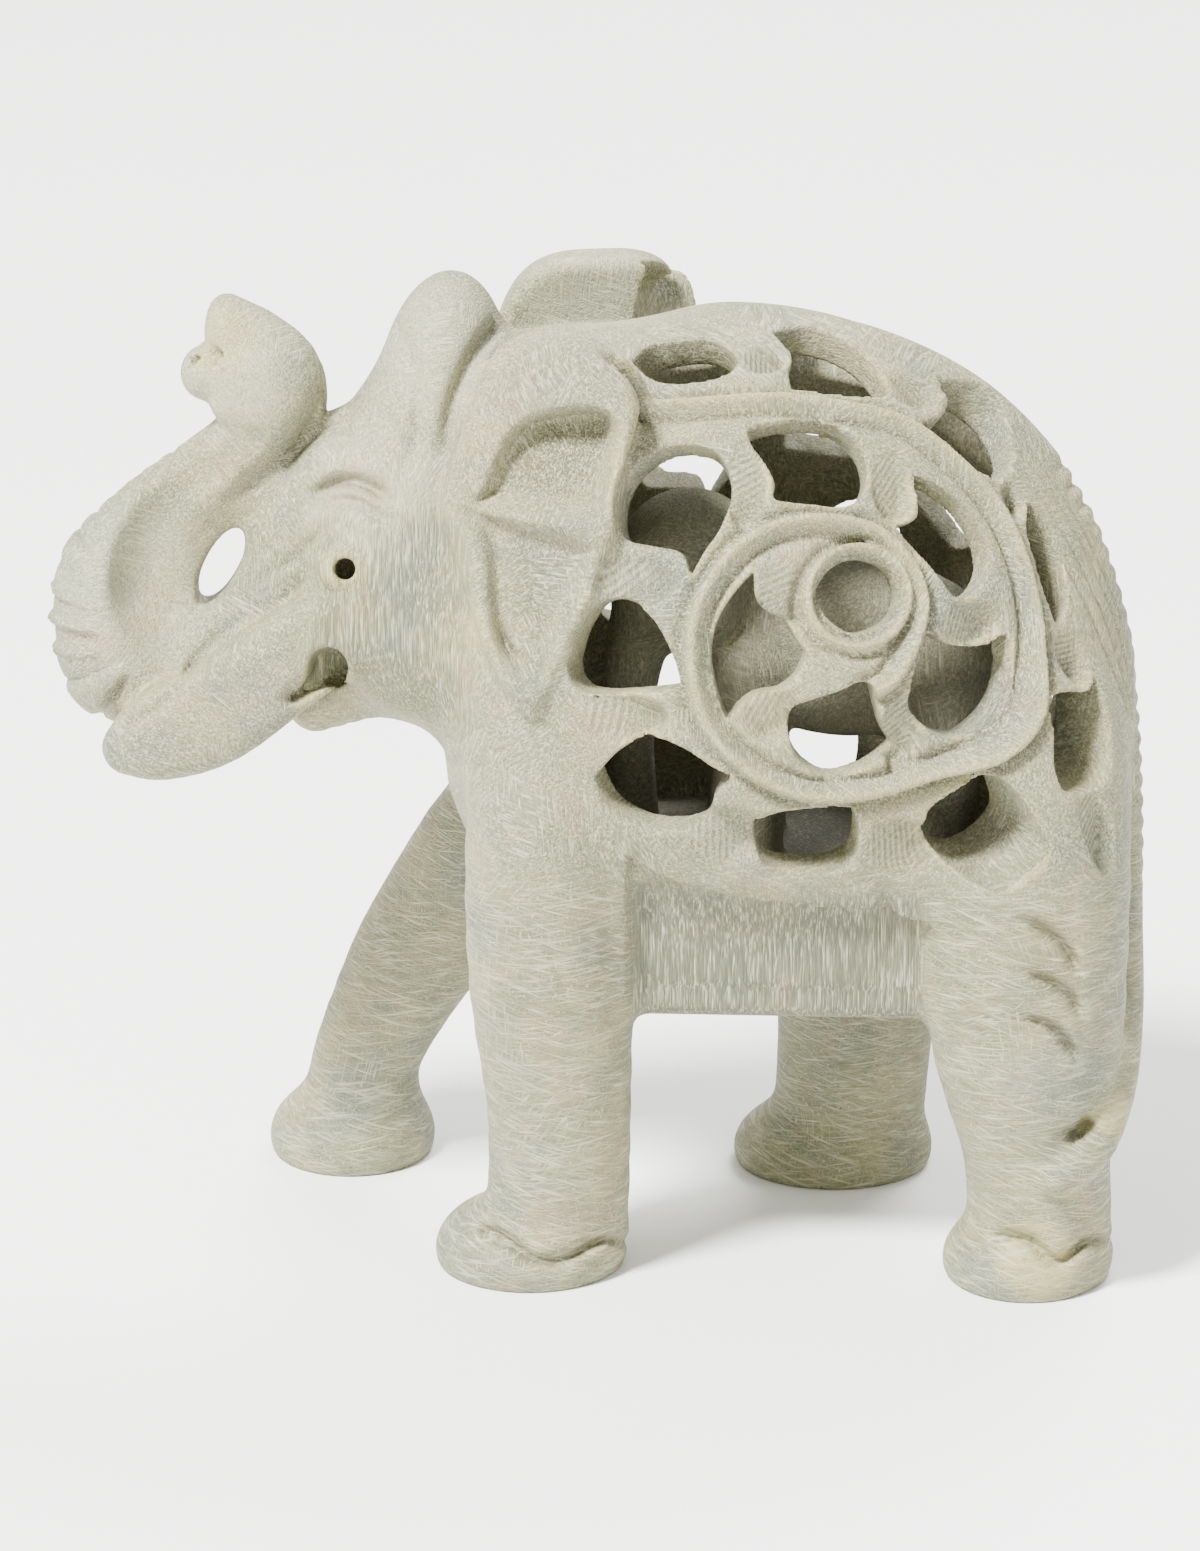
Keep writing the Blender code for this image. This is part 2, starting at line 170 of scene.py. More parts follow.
class SideView:
    """The view that the carving is drawn in: a little from the front left and from above.

    Its units run right and down over a frame of 1200 by 1551, 9.75 to the millimetre at the target.
    """

    WIDE, HIGH = 1200, 1551
    RISE, TURN = math.radians(18.0), math.radians(3.0)
    TARGET = np.array([0.5, 0.0, 47.0])
    DISTANCE = 900.0
    UNITS = 9.75

    def __init__(self) -> None:
        """Work out the view's own axes."""
        self.ahead = np.array(
            [
                -math.sin(self.TURN) * math.cos(self.RISE),
                math.cos(self.TURN) * math.cos(self.RISE),
                -math.sin(self.RISE),
            ]
        )
        self.right = np.array([math.cos(self.TURN), math.sin(self.TURN), 0.0])
        self.up = np.cross(self.right, self.ahead)
        self.eye = self.TARGET - self.DISTANCE * self.ahead
        self.focal = self.UNITS * self.DISTANCE

    def sight(self, drawn: Array) -> Array:
        """Directions from the eye through drawn points."""
        u = (drawn[:, 0] - self.WIDE / 2) / self.focal
        v = (drawn[:, 1] - self.HIGH / 2) / self.focal
        line = self.ahead + u[:, None] * self.right - v[:, None] * self.up
        return line / np.linalg.norm(line, axis=1, keepdims=True)

    def seen(self, x: Array, y: Array, z: Array) -> tuple[Array, Array]:
        """Where points of the figure are seen in the view.

        Args:
            x, y, z: Millimetres in the figure's frame.

        Returns:
            Units right and down.
        """
        dx, dy, dz = x - self.eye[0], y - self.eye[1], z - self.eye[2]
        deep = dx * self.ahead[0] + dy * self.ahead[1] + dz * self.ahead[2]
        side = dx * self.right[0] + dy * self.right[1]
        rise = dx * self.up[0] + dy * self.up[1] + dz * self.up[2]
        return self.WIDE / 2 + self.focal * side / deep, self.HIGH / 2 - self.focal * rise / deep


@dataclass(frozen=True)
class Drawing:
    """An enlarged part of the side view that outlines are written down from."""

    corner: tuple[float, float]
    growth: float

    def read(self, text: str) -> tuple[Array, Array]:
        """Points of an outline.

        Args:
            text: Points as right,down with a c after each sharp corner.

        Returns:
            The points in units of the view, and which of them are corners.
        """
        words = text.split()
        corners = np.array([word.endswith("c") for word in words])
        points = np.array([[float(n) for n in word.rstrip("c").split(",")] for word in words])
        return np.array(self.corner) + points / self.growth, corners


VIEW = SideView()
FLANK_DRAWING = Drawing((540.0, 230.0), 2.34)
HEAD_DRAWING = Drawing((30.0, 230.0), 2.272)
VIEW_DRAWING = Drawing((0.0, 0.0), 1.0)


# Grid and forms


@dataclass
class Block:
    """A box of grid points, with its coordinates in millimetres."""

    x: Array
    y: Array
    z: Array
    where: tuple[slice, slice, slice]


class Grid:
    """Regular grid of field values around the figure."""

    def __init__(self, low: Place, high: Place, pitch: float) -> None:
        """Lay out the points from the low corner to the high corner."""
        self.low = np.array(low)
        self.pitch = pitch
        count = np.ceil((np.array(high) - self.low) / pitch).astype(int) + 1
        self.axes = [self.low[i] + pitch * np.arange(count[i]) for i in range(3)]
        self.values = np.full(count, 50.0, np.float32)

    def block(self, low: Array, high: Array) -> Block:
        """The points between two corners."""
        where = []
        for axis in range(3):
            line = self.axes[axis]
            start = int(np.searchsorted(line, low[axis]))
            where.append(slice(start, int(np.searchsorted(line, high[axis]))))
        x, y, z = (self.axes[i][where[i]].astype(np.float32) for i in range(3))
        return Block(x[:, None, None], y[None, :, None], z[None, None, :], tuple(where))

    def sample(self, points: Array) -> Array:
        """Field values at points, linear between grid points."""
        spot = (points - self.low) / self.pitch
        top = np.array(self.values.shape) - 2
        cell = np.clip(np.floor(spot).astype(int), 0, top)
        part = np.clip(spot - cell, 0, 1)
        total = np.zeros(len(points))
        for corner in np.ndindex(2, 2, 2):
            share = np.prod(np.where(np.array(corner), part, 1 - part), axis=1)
            i, j, k = (cell + np.array(corner)).T
            total += share * self.values[i, j, k]
        return total

    def slope(self, points: Array, reach: float) -> Array:
        """Unit directions in which the field grows fastest."""
        steps = np.eye(3) * reach
        rise = np.stack([self.sample(points + s) - self.sample(points - s) for s in steps], axis=1)
        return rise / np.maximum(np.linalg.norm(rise, axis=1, keepdims=True), TINY)

    def around(self, form: "Form", margin: float) -> Block:
        """The points in a form's box and a margin around it."""
        low, high = form.box()
        return self.block(low - margin, high + margin)

    def merge(self, block: Block, distance: Array, blend: float) -> None:
        """Add distances at a block's points to the field with a fillet."""
        self.values[block.where] = union(self.values[block.where], distance, blend)

    def join(self, form: "Form", blend: float) -> None:
        """Add a form to the field with a fillet."""
        block = self.around(form, blend + 1)
        self.merge(block, form.distance(block), blend)

    def cut(self, form: "Form", blend: float) -> None:
        """Take a form out of the field with a rounded edge."""
        block = self.around(form, blend + 1)
        self.values[block.where] = overlap(self.values[block.where], -form.distance(block), blend)


class Form:
    """Something with a distance field."""

    def box(self) -> tuple[Array, Array]:
        """Low and high corners."""
        raise NotImplementedError

    def distance(self, block: Block) -> Array:
        """Signed distance at the block's points, negative inside."""
        raise NotImplementedError


@dataclass
class Ellipsoid(Form):
    """Ellipsoid that leans by tilt degrees about Y, its top towards the tail when positive."""

    centre: Place
    half: Place
    tilt: float = 0.0

    def box(self) -> tuple[Array, Array]:
        """Corners of a cube that holds the ellipsoid, however it leans."""
        c, h = np.array(self.centre), np.array(self.half)
        reach = np.where([True, False, True], max(h[0], h[2]), h[1]) if self.tilt else h
        return c - reach, c + reach

    def distance(self, block: Block) -> Array:
        """a (a - 1) / b, with a the length of the point over the half axes and b over their squares."""
        lean = math.radians(self.tilt)
        dx, dy, dz = block.x - self.centre[0], block.y - self.centre[1], block.z - self.centre[2]
        x = dx * math.cos(lean) - dz * math.sin(lean)
        z = dx * math.sin(lean) + dz * math.cos(lean)
        hx, hy, hz = self.half
        a = np.sqrt((x / hx) ** 2 + (dy / hy) ** 2 + (z / hz) ** 2)
        b = np.sqrt((x / hx**2) ** 2 + (dy / hy**2) ** 2 + (z / hz**2) ** 2)
        return a * (a - 1) / np.maximum(b, 1e-4)


@dataclass
class RoundBox(Form):
    """Box with rounded edges."""

    centre: Place
    half: Place
    round: float

    def box(self) -> tuple[Array, Array]:
        """Corners of the box."""
        return np.array(self.centre) - self.half, np.array(self.centre) + self.half

    def distance(self, block: Block) -> Array:
        """Distance to the box shrunk by the rounding, less the rounding."""
        parts = [
            np.abs(axis - self.centre[i]) - self.half[i] + self.round
            for i, axis in enumerate((block.x, block.y, block.z))
        ]
        out = np.sqrt(sum(np.maximum(part, 0) ** 2 for part in parts))
        deepest = np.maximum(np.maximum(parts[0], parts[1]), parts[2])
        return out + np.minimum(deepest, 0) - self.round


class Chain(Form):
    """Round bar of changing radius along a smooth line."""

    def __init__(self, knots: list[Knot], steps: int = 4, soft: float = 0.0) -> None:
        """Store the line.

        Args:
            knots: Rows of x, y, z and radius in millimetres.
            steps: Pieces between two knots.
            soft: Fillet between neighbouring pieces.
        """
        self.line = spline(np.array(knots, float), steps)
        self.soft = soft
        pieces = np.linalg.norm(np.diff(self.line[:, :3], axis=0), axis=1)
        self.lengths = np.concatenate([[0.0], np.cumsum(pieces)])

    def box(self) -> tuple[Array, Array]:
        """Corners around every ball along the line."""
        radius = self.line[:, 3:]
        return (self.line[:, :3] - radius).min(0), (self.line[:, :3] + radius).max(0)

    def measure(self, block: Block) -> tuple[Array, Array]:
        """Distance, and length along the line at the nearest point."""
        best, along = None, None
        for i, (start, end) in enumerate(zip(self.line[:-1], self.line[1:])):
            step = end[:3] - start[:3]
            size = float(step @ step) + TINY
            dx, dy, dz = block.x - start[0], block.y - start[1], block.z - start[2]
            t = np.clip((dx * step[0] + dy * step[1] + dz * step[2]) / size, 0, 1)
            gap = (dx - t * step[0]) ** 2 + (dy - t * step[1]) ** 2 + (dz - t * step[2]) ** 2
            gap = np.sqrt(gap) - start[3] - t * (end[3] - start[3])
            run = self.lengths[i] + t * math.sqrt(size)
            if best is None:
                best, along = gap, run
                continue
            along = np.where(gap < best, run, along)
            best = union(best, gap, self.soft)
        return best, along

    def distance(self, block: Block) -> Array:
        """Signed distance to the bar."""
        return self.measure(block)[0]


class Egg(Form):
    """The body: an egg whose half axes differ before and behind, above and below its middle.

    Attributes:
        FAR_DROP: How much lower the pattern of the right flank lies.
        LEVEL: How level the holes run, from 0 towards the egg's middle to 1 straight across.
        OUTSIDE: Depth at which a line of sight is still outside the egg.
    """

    CENTRE = (14.0, 0.0, 57.0)
    BACK, FRONT, WIDE, TOP, LOW = 40.2, 28.0, 24.2, 39.9, 30.0
    FAR_DROP = 4.5
    LEVEL = 0.6
    OUTSIDE = -34.0

    def __init__(self, inset: float = 0.0) -> None:
        """Shrink the egg by inset on every side."""
        self.inset = inset

    def box(self) -> tuple[Array, Array]:
        """Corners of the egg."""
        c = np.array(self.CENTRE)
        return c - (self.FRONT, self.WIDE, self.LOW), c + (self.BACK, self.WIDE, self.TOP)

    def shares(self, x: Array, y: Array, z: Array) -> tuple[Array, Array, Array, Array, Array]:
        """Offsets from the middle over the half axes, and the half axes along x and z."""
        dx, dz = x - self.CENTRE[0], z - self.CENTRE[2]
        hx = np.where(dx > 0, self.BACK, self.FRONT) - self.inset
        hz = np.where(dz > 0, self.TOP, self.LOW) - self.inset
        return dx / hx, y / (self.WIDE - self.inset), dz / hz, hx, hz

    def distance(self, block: Block) -> Array:
        """The ellipsoid formula, with the half axes of the point's own quarter."""
        a, b, c, hx, hz = self.shares(block.x, block.y, block.z)
        size = np.sqrt(a**2 + b**2 + c**2)
        rate = np.sqrt((a / hx) ** 2 + (b / (self.WIDE - self.inset)) ** 2 + (c / hz) ** 2)
        return size * (size - 1) / np.maximum(rate, 1e-4)

    def flank(self, x: Array, y: Array, z: Array) -> tuple[Array, Array, Array]:
        """Place of points on the flank's map.

        Args:
            x, y, z: Millimetres in the figure's frame.

        Returns:
            Millimetres back and up from the flank's middle, and the share of the way out to the egg.
            The right flank's middle lies FAR_DROP lower, as its pattern does.
        """
        a, b, c, hx, hz = self.shares(x, np.abs(y), z)
        size = np.sqrt(a**2 + b**2 + c**2) + 1e-6
        flat = np.sqrt(a**2 + c**2) + 1e-6
        turn = np.arccos(np.clip(b / size, -1, 1)) / flat
        return turn * a * hx, turn * c * hz + self.FAR_DROP * (y > 0), size

    def bored(self, x: Array, y: Array, z: Array) -> tuple[Array, Array, Array]:
        """Place of points in the wall on the flank's map, followed outwards along the holes.

        A hole's walls run between straight across and towards the egg's middle: at a share t of the
        way out, a point of the surface has moved in by t across, and by m = LEVEL + t (1 - LEVEL)
        along and up. Newton steps find the t for which the point's own surface point is on the egg.

        Args:
            x, y, z: Millimetres in the figure's frame.

        Returns:
            Millimetres back and up from the flank's middle, and the share t.
        """
        a, b, c, hx, hz = self.shares(x, np.abs(y), z)
        flat = a**2 + c**2
        t = np.sqrt(flat + b**2)
        rate = 1 - self.LEVEL
        for _ in range(4):
            m = self.LEVEL + t * rate
            t = t + (flat / m**2 + b**2 / t**2 - 1) / (2 * flat * rate / m**3 + 2 * b**2 / t**3 + 1e-6)
            t = np.clip(t, 0.1, 2.0)
        m = self.LEVEL + t * rate
        spread = np.clip(np.sqrt(flat) / m, 1e-6, 1)
        turn = np.arcsin(spread) / spread
        return turn * a / m * hx, turn * c / m * hz + self.FAR_DROP * (y > 0), t

    def under(self, drawn: Array) -> Array:
        """Lay drawn points on the flank's map, along the line of sight."""
        sight = VIEW.sight(drawn)
        near = (self.OUTSIDE - VIEW.eye[1]) / sight[:, 1]
        far = (0.0 - VIEW.eye[1]) / sight[:, 1]
        for _ in range(40):
            half = (near + far) / 2
            x, y, z = (VIEW.eye + half[:, None] * sight).T
            out = self.flank(x, y, z)[2] > 1
            near, far = np.where(out, half, near), np.where(out, far, half)
        x, y, z = (VIEW.eye + far[:, None] * sight).T
        back, up, _ = self.flank(x, y, z)
        return np.column_stack([back, up])


# The pierced vine


class Chart:
    """Picture of one value over a plane, read back at any point."""

    def __init__(self, low: tuple, high: tuple, pitch: float, value: float = 0.0) -> None:
        """Fill the plane between two corners with a value."""
        self.low, self.pitch = np.array(low), pitch
        count = np.ceil((np.array(high) - self.low) / pitch).astype(int) + 1
        self.values = np.full(count, value, np.float32)

    def window(self, points: Array, margin: float) -> tuple[tuple[slice, slice], Array, Array]:
        """The part of the plane around points, with its coordinates."""
        first = np.floor((points.min(0) - margin - self.low) / self.pitch).astype(int)
        last = np.ceil((points.max(0) + margin - self.low) / self.pitch).astype(int) + 1
        first = np.clip(first, 0, np.array(self.values.shape) - 1)
        last = np.clip(last, 1, self.values.shape)
        u = self.low[0] + self.pitch * np.arange(first[0], last[0])
        v = self.low[1] + self.pitch * np.arange(first[1], last[1])
        return (slice(first[0], last[0]), slice(first[1], last[1])), u[:, None], v[None, :]

    def read(self, u: Array, v: Array) -> Array:
        """Values at points, linear between samples."""
        a, b = (u - self.low[0]) / self.pitch, (v - self.low[1]) / self.pitch
        i = np.clip(a.astype(np.int32), 0, self.values.shape[0] - 2)
        j = np.clip(b.astype(np.int32), 0, self.values.shape[1] - 2)
        s, t = np.clip(a - i, 0, 1), np.clip(b - j, 0, 1)
        w = self.values
        low = w[i, j] * (1 - t) + w[i, j + 1] * t
        return low * (1 - s) + (w[i + 1, j] * (1 - t) + w[i + 1, j + 1] * t) * s


@dataclass(frozen=True)
class Leaf:
    """A scooped leaf beside the stem, in the units of the flank's drawing.

    Attributes:
        middle: Right and down.
        half: Half sizes right and down.
        lean: Direction of its file strokes, degrees from level.
        pitch: Millimetres between strokes.
    """

    middle: tuple[float, float]
    half: tuple[float, float]
    lean: float
    pitch: float = 0.7


class Vine:
    """Holes, stem and leaves of the flank's pattern, as charts on the flank's map.

    Attributes:
        hole: Distance to the holes. rise: Relief. leaf, stroke: Share of leaves, place across their strokes.
        band: Share of the plain belly. crest, gutter: Share of the stem's ridge and of its sides.
        PLANE: Corners of the map that the charts cover, and their pitch.
        RING_SHARE: Size of the ring's ridge over the stem's.
        TILT: How much deeper a leaf is on one side.
        LEAF_EDGE, LEAF_REACH: Shares of a leaf's half sizes at which it fades, and out to which it is drawn.
    """

    HOLES = (
        "218,318c 255,276 320,258 400,256 452,285 460,312 430,338 360,355 270,352",
        "545,238c 610,225 690,242 765,290 812,360 808,385 720,385 590,368c 582,330 590,290",
        "932,340c 1005,368 1075,425 1110,500 1105,550 1083,592c 1010,548 950,495 890,456c 945,430 958,395",
        "1150,635c 1195,700 1225,790 1232,870 1202,925c 1182,850 1160,770 1142,700",
        "1168,1080 1240,1072 1262,1040c 1264,1130 1250,1215 1215,1262 1160,1275 1140,1250 1150,1160",
        "1020,1262 1060,1275 1090,1345 1085,1385 1045,1430 985,1460 920,1445 892,1395 905,1350 960,1305",
        "505,1392 560,1365 650,1358 735,1355c 745,1400 735,1460 690,1492 610,1497 540,1490 505,1450",
        "128,1278c 190,1215 260,1190 330,1212 400,1258 448,1285c 410,1330 390,1385 320,1405 240,1395 165,1350",
        "72,1018c 95,940 130,885 165,865 215,872 270,920 310,1000 328,1072c 240,1082 130,1085 85,1060",
        "186,665 200,600 240,545 300,508 360,503 412,520 442,565 446,625 420,700 385,750 352,810c "
        "330,755 260,738 200,722",
        "485,467c 545,450 630,443 700,460 750,510 768,570 755,620 715,645 640,640 560,632 545,622c "
        "550,590 525,540 495,500",
        "873,570c 940,600 1000,650 1040,720 1052,790 1020,850 975,858 940,815 890,755 832,692c 882,675 886,630",
        "912,945 960,970 1040,975 1092,943c 1100,1010 1085,1080 1050,1140 985,1187 920,1175 875,1130 "
        "868,1085 890,1010",
        "585,1150 610,1112 680,1088 770,1060 790,1110 805,1165 832,1212c 765,1262 680,1285 620,1255 588,1205",
        "500,798c 505,860 530,892 575,915 600,955 625,995c 600,1045 560,1078 500,1090 460,1120 437,1152c "
        "412,1085 398,1000 412,920 450,855",
        "843,855 820,915 745,948 680,915 648,855 680,795 745,767 815,790",
    )
    STEM = (
        "235,425 400,410 560,402 710,420 850,455 965,540 1055,635 1115,750 1145,870 1140,990 1095,1120 "
        "1010,1215 890,1275 760,1315 620,1318 490,1262 400,1170 362,1060 358,940 390,845 462,750 560,695 "
        "680,682 790,712 865,785 892,875 870,970 825,1050 770,1085"
    )
    RING_MIDDLE, RING_RADIUS = (745.0, 858.0), 118.0
    LOWER_EDGE = "604,826 640,856 690,880 780,893 890,890 940,882"
    LEAVES = (
        Leaf((515, 300), (60, 45), 90),
        Leaf((870, 370), (75, 60), 80),
        Leaf((1110, 630), (40, 50), 90),
        Leaf((1215, 1000), (45, 70), 5),
        Leaf((1140, 1330), (45, 85), 30),
        Leaf((825, 1430), (75, 60), 90),
        Leaf((430, 1420), (80, 65), 90),
        Leaf((190, 1140), (95, 50), 80, 0.8),
        Leaf((215, 815), (90, 55), 40, 0.8),
        Leaf((480, 590), (45, 100), 30),
        Leaf((825, 590), (50, 90), 55),
        Leaf((1010, 920), (85, 50), 70),
        Leaf((575, 850), (60, 70), 25),
        Leaf((540, 1130), (60, 60), 60),
        Leaf((850, 1170), (45, 90), 35),
    )
    STEM_HALF, STEM_PROUD, GROOVE = 1.05, 1.0, 0.7
    RING_SHARE = 0.6
    SCOOP, TILT = 1.1, 0.8
    LEAF_EDGE, LEAF_REACH = (0.8, 1.35), 1.6
    PLANE = ((-42.0, -38.0), (62.0, 58.0), 0.1)
    FAR_FROM_HOLES = 9.0

    def __init__(self) -> None:
        """Draw the charts."""
        egg = Egg()
        self.hole = Chart(*self.PLANE, self.FAR_FROM_HOLES)
        self.rise, self.leaf, self.stroke = (Chart(*self.PLANE) for _ in range(3))
        self.band, self.crest, self.gutter = (Chart(*self.PLANE) for _ in range(3))
        for text in self.HOLES:
            drawn, corners = FLANK_DRAWING.read(text)
            loop = egg.under(spline(drawn, 5, True, corners))
            where, u, v = self.hole.window(loop, 3.0)
            self.hole.values[where] = np.minimum(self.hole.values[where], outline_distance(u, v, loop))
        self.draw_leaves(egg)
        self.draw_stem(egg)
        self.draw_band(egg)

    def draw_leaves(self, egg: Egg) -> None:
        """Scoop each leaf, and turn its strokes."""
        unit = FLANK_DRAWING.growth * VIEW.UNITS
        for leaf in self.LEAVES:
            spots = np.array([leaf.middle]) / FLANK_DRAWING.growth + np.array(FLANK_DRAWING.corner)
            centre = egg.under(spots)[0]
            half = np.array(leaf.half) / unit
            reach = half * self.LEAF_REACH
            where, u, v = self.rise.window(np.array([centre - reach, centre + reach]), 0.5)
            far = np.sqrt(((u - centre[0]) / half[0]) ** 2 + ((v - centre[1]) / half[1]) ** 2)
            mask = 1 - ease(*self.LEAF_EDGE, far)
            turn = math.radians(leaf.lean)
            across = -(u - centre[0]) * math.sin(turn) + (v - centre[1]) * math.cos(turn)
            dip = self.SCOOP * mask * (1 - self.TILT * np.clip(across / half.mean(), -1, 1))
            self.rise.values[where] = np.minimum(self.rise.values[where], -dip)
            stronger = mask > self.leaf.values[where]
            self.stroke.values[where] = np.where(stronger, across / leaf.pitch, self.stroke.values[where])
            self.leaf.values[where] = np.maximum(self.leaf.values[where], mask)

    def draw_stem(self, egg: Egg) -> None:
        """Raise the stem as a low roof with a groove on each side."""
        drawn, _ = FLANK_DRAWING.read(self.STEM)
        turns = np.linspace(0, 2 * math.pi, 25)[:, None]
        circle = np.concatenate([np.cos(turns), np.sin(turns)], axis=1)
        ring = np.array(self.RING_MIDDLE) + self.RING_RADIUS * circle
        ring = ring / FLANK_DRAWING.growth + np.array(FLANK_DRAWING.corner)
        for line, half, proud in (
            (spline(drawn, 4), self.STEM_HALF, self.STEM_PROUD),
            (ring, self.STEM_HALF * self.RING_SHARE, self.STEM_PROUD * self.RING_SHARE),
        ):
            path = egg.under(line)
            where, u, v = self.rise.window(path, 4.0)
            gap, _ = line_distance(u, v, path)
            roof = proud * np.clip(1.15 - (gap / half) ** 1.2, 0, 1)
            groove = self.GROOVE * bell(gap - half, 0.35, 0.55)
            on_stem = 1 - ease(half * 0.85, half * 1.1, gap)
            base = self.rise.values[where]
            self.rise.values[where] = base * (1 - on_stem) + roof - groove
            self.leaf.values[where] *= 1 - on_stem
            for chart, share in ((self.crest, bell(gap, 0.0, 0.7)), (self.gutter, bell(gap - half, 0.4, 0.6))):
                chart.values[where] = np.maximum(chart.values[where], share)

    def draw_band(self, egg: Egg) -> None:
        """Step down below the pattern's lower edge, to the plain belly."""
        drawn, _ = VIEW_DRAWING.read(self.LOWER_EDGE)
        path = egg.under(spline(drawn, 4))
        where, u, v = self.band.window(path, 14.0)
        edge = np.interp(u[:, 0], path[:, 0], path[:, 1])[:, None]
        start, end = path[0, 0], path[-1, 0]
        inside = within(u, start, start + 1, end - 1, end + 1)
        self.band.values[where] = (1 - ease(-0.4, 0.1, v - edge)) * inside


# Lines on head, ears and legs


@dataclass(frozen=True)
class Cut:
    """A line drawn in the side view and cut into the stone, or raised where depth is below 0.

    Attributes:
        path: Points as right,down.
        wide: Half width in millimetres.
        deep: Depth in millimetres.
    """

    path: str
    wide: float
    deep: float


class Sketch:
    """Cuts in the side view, read back at points of the form.

    Attributes:
        REACH: Half widths out to which a cut is drawn.
        TAPER, END: How fast a cut deepens from its ends, and the share of its depth at the ends.
        SKIN: Depth of the layer of the field that the cuts change, in millimetres.
    """

    REACH = 2.5
    TAPER, END = 4.0, 0.35
    SKIN = 2.0

    def __init__(self, cuts: tuple[Cut, ...]) -> None:
        """Draw the cuts on a chart in units of the view."""
        self.chart = Chart((0, 0), (SideView.WIDE, SideView.HIGH), 1.0, 0.0)
        for cut in cuts:
            drawn, _ = VIEW_DRAWING.read(cut.path)
            line = spline(drawn, 5)
            reach = cut.wide * VIEW.UNITS
            where, u, v = self.chart.window(line, self.REACH * reach)
            gap, along = line_distance(u, v, line)
            total = along.max() + 1e-6
            fade = np.clip(self.TAPER * np.minimum(along, total - along) / total + self.END, 0, 1)
            self.chart.values[where] += cut.deep * fade * bell(gap, 0.0, reach)

    def carve(self, grid: Grid, low: Place, high: Place, near_only: bool) -> None:
        """Deepen the field near its surface in a box.

        Args:
            grid: The figure's field.
            low, high: Corners of the box on the left side; the right side's box is its mirror.
            near_only: Whether only the left side is cut.
        """
        for side in (Side.LEFT,) if near_only else (Side.LEFT, Side.RIGHT):
            a, b = np.array(low), np.array(high)
            if side is Side.RIGHT:
                a[1], b[1] = -high[1], -low[1]
            block = grid.block(a, b)
            values = grid.values[block.where]
            i, j, k = np.nonzero(np.abs(values) < self.SKIN)
            x, y, z = block.x[i, 0, 0], -np.abs(block.y[0, j, 0]), block.z[0, 0, k]
            u, v = VIEW.seen(x, y, z)
            values[i, j, k] += self.chart.read(u, v)
            grid.values[block.where] = values


HEAD_CUTS = (
    Cut("314,497 331,486 347,481 368,486 390,501", 0.85, 1.7),
    Cut("316,506 335,500 358,502 391,523", 0.5, 0.8),
    Cut("322,491 347,491 375,498 392,511", 0.5, -0.5),
    Cut("259,582 290,562 316,538 334,520", 0.5, 0.4),
    Cut("322,678 305,688 286,700", 0.8, 1.6),
    Cut("336,404 313,428 294,446 262,472 232,497", 1.3, 1.4),
    Cut("112,738 138,722 162,705 184,680 202,653 241,617", 0.6, 0.6),
    Cut("392,310 412,360 420,410 410,470", 0.9, 0.7),
    Cut("500,318 470,360 452,405 445,450", 0.8, 1.0),
    Cut("466,512 478,520 490,533 497,555 499,604 505,639 520,660 536,672", 0.8, 1.4),
    Cut("458,520 474,545 482,590 486,630 500,668 520,700", 1.0, -0.7),
    Cut("505,510 530,520 560,524 590,526", 0.9, -0.7),
)
LEG_CUTS = (
    Cut("470,1226 490,1231 505,1239 534,1259 563,1259 598,1240 624,1240", 0.6, 1.3),
    Cut("996,1236 1028,1239 1057,1262 1086,1240 1106,1238", 0.6, 1.3),
    Cut("1021,918 1045,930 1066,948 1078,972", 0.6, 1.5),
    Cut("1027,971 1050,981 1068,994 1081,1016", 0.6, 1.4),
    Cut("1021,1016 1045,1023 1062,1037 1078,1060", 0.6, 1.4),
    Cut("1064,1136 1078,1130 1090,1116", 0.9, 1.8),
    Cut("511,899 540,930 560,975 568,1005", 0.4, 0.35),
    Cut("642,885 645,930 648,980", 0.9, 1.2),
    Cut("886,890 889,940 886,985", 0.8, 0.8),
)


# The figure


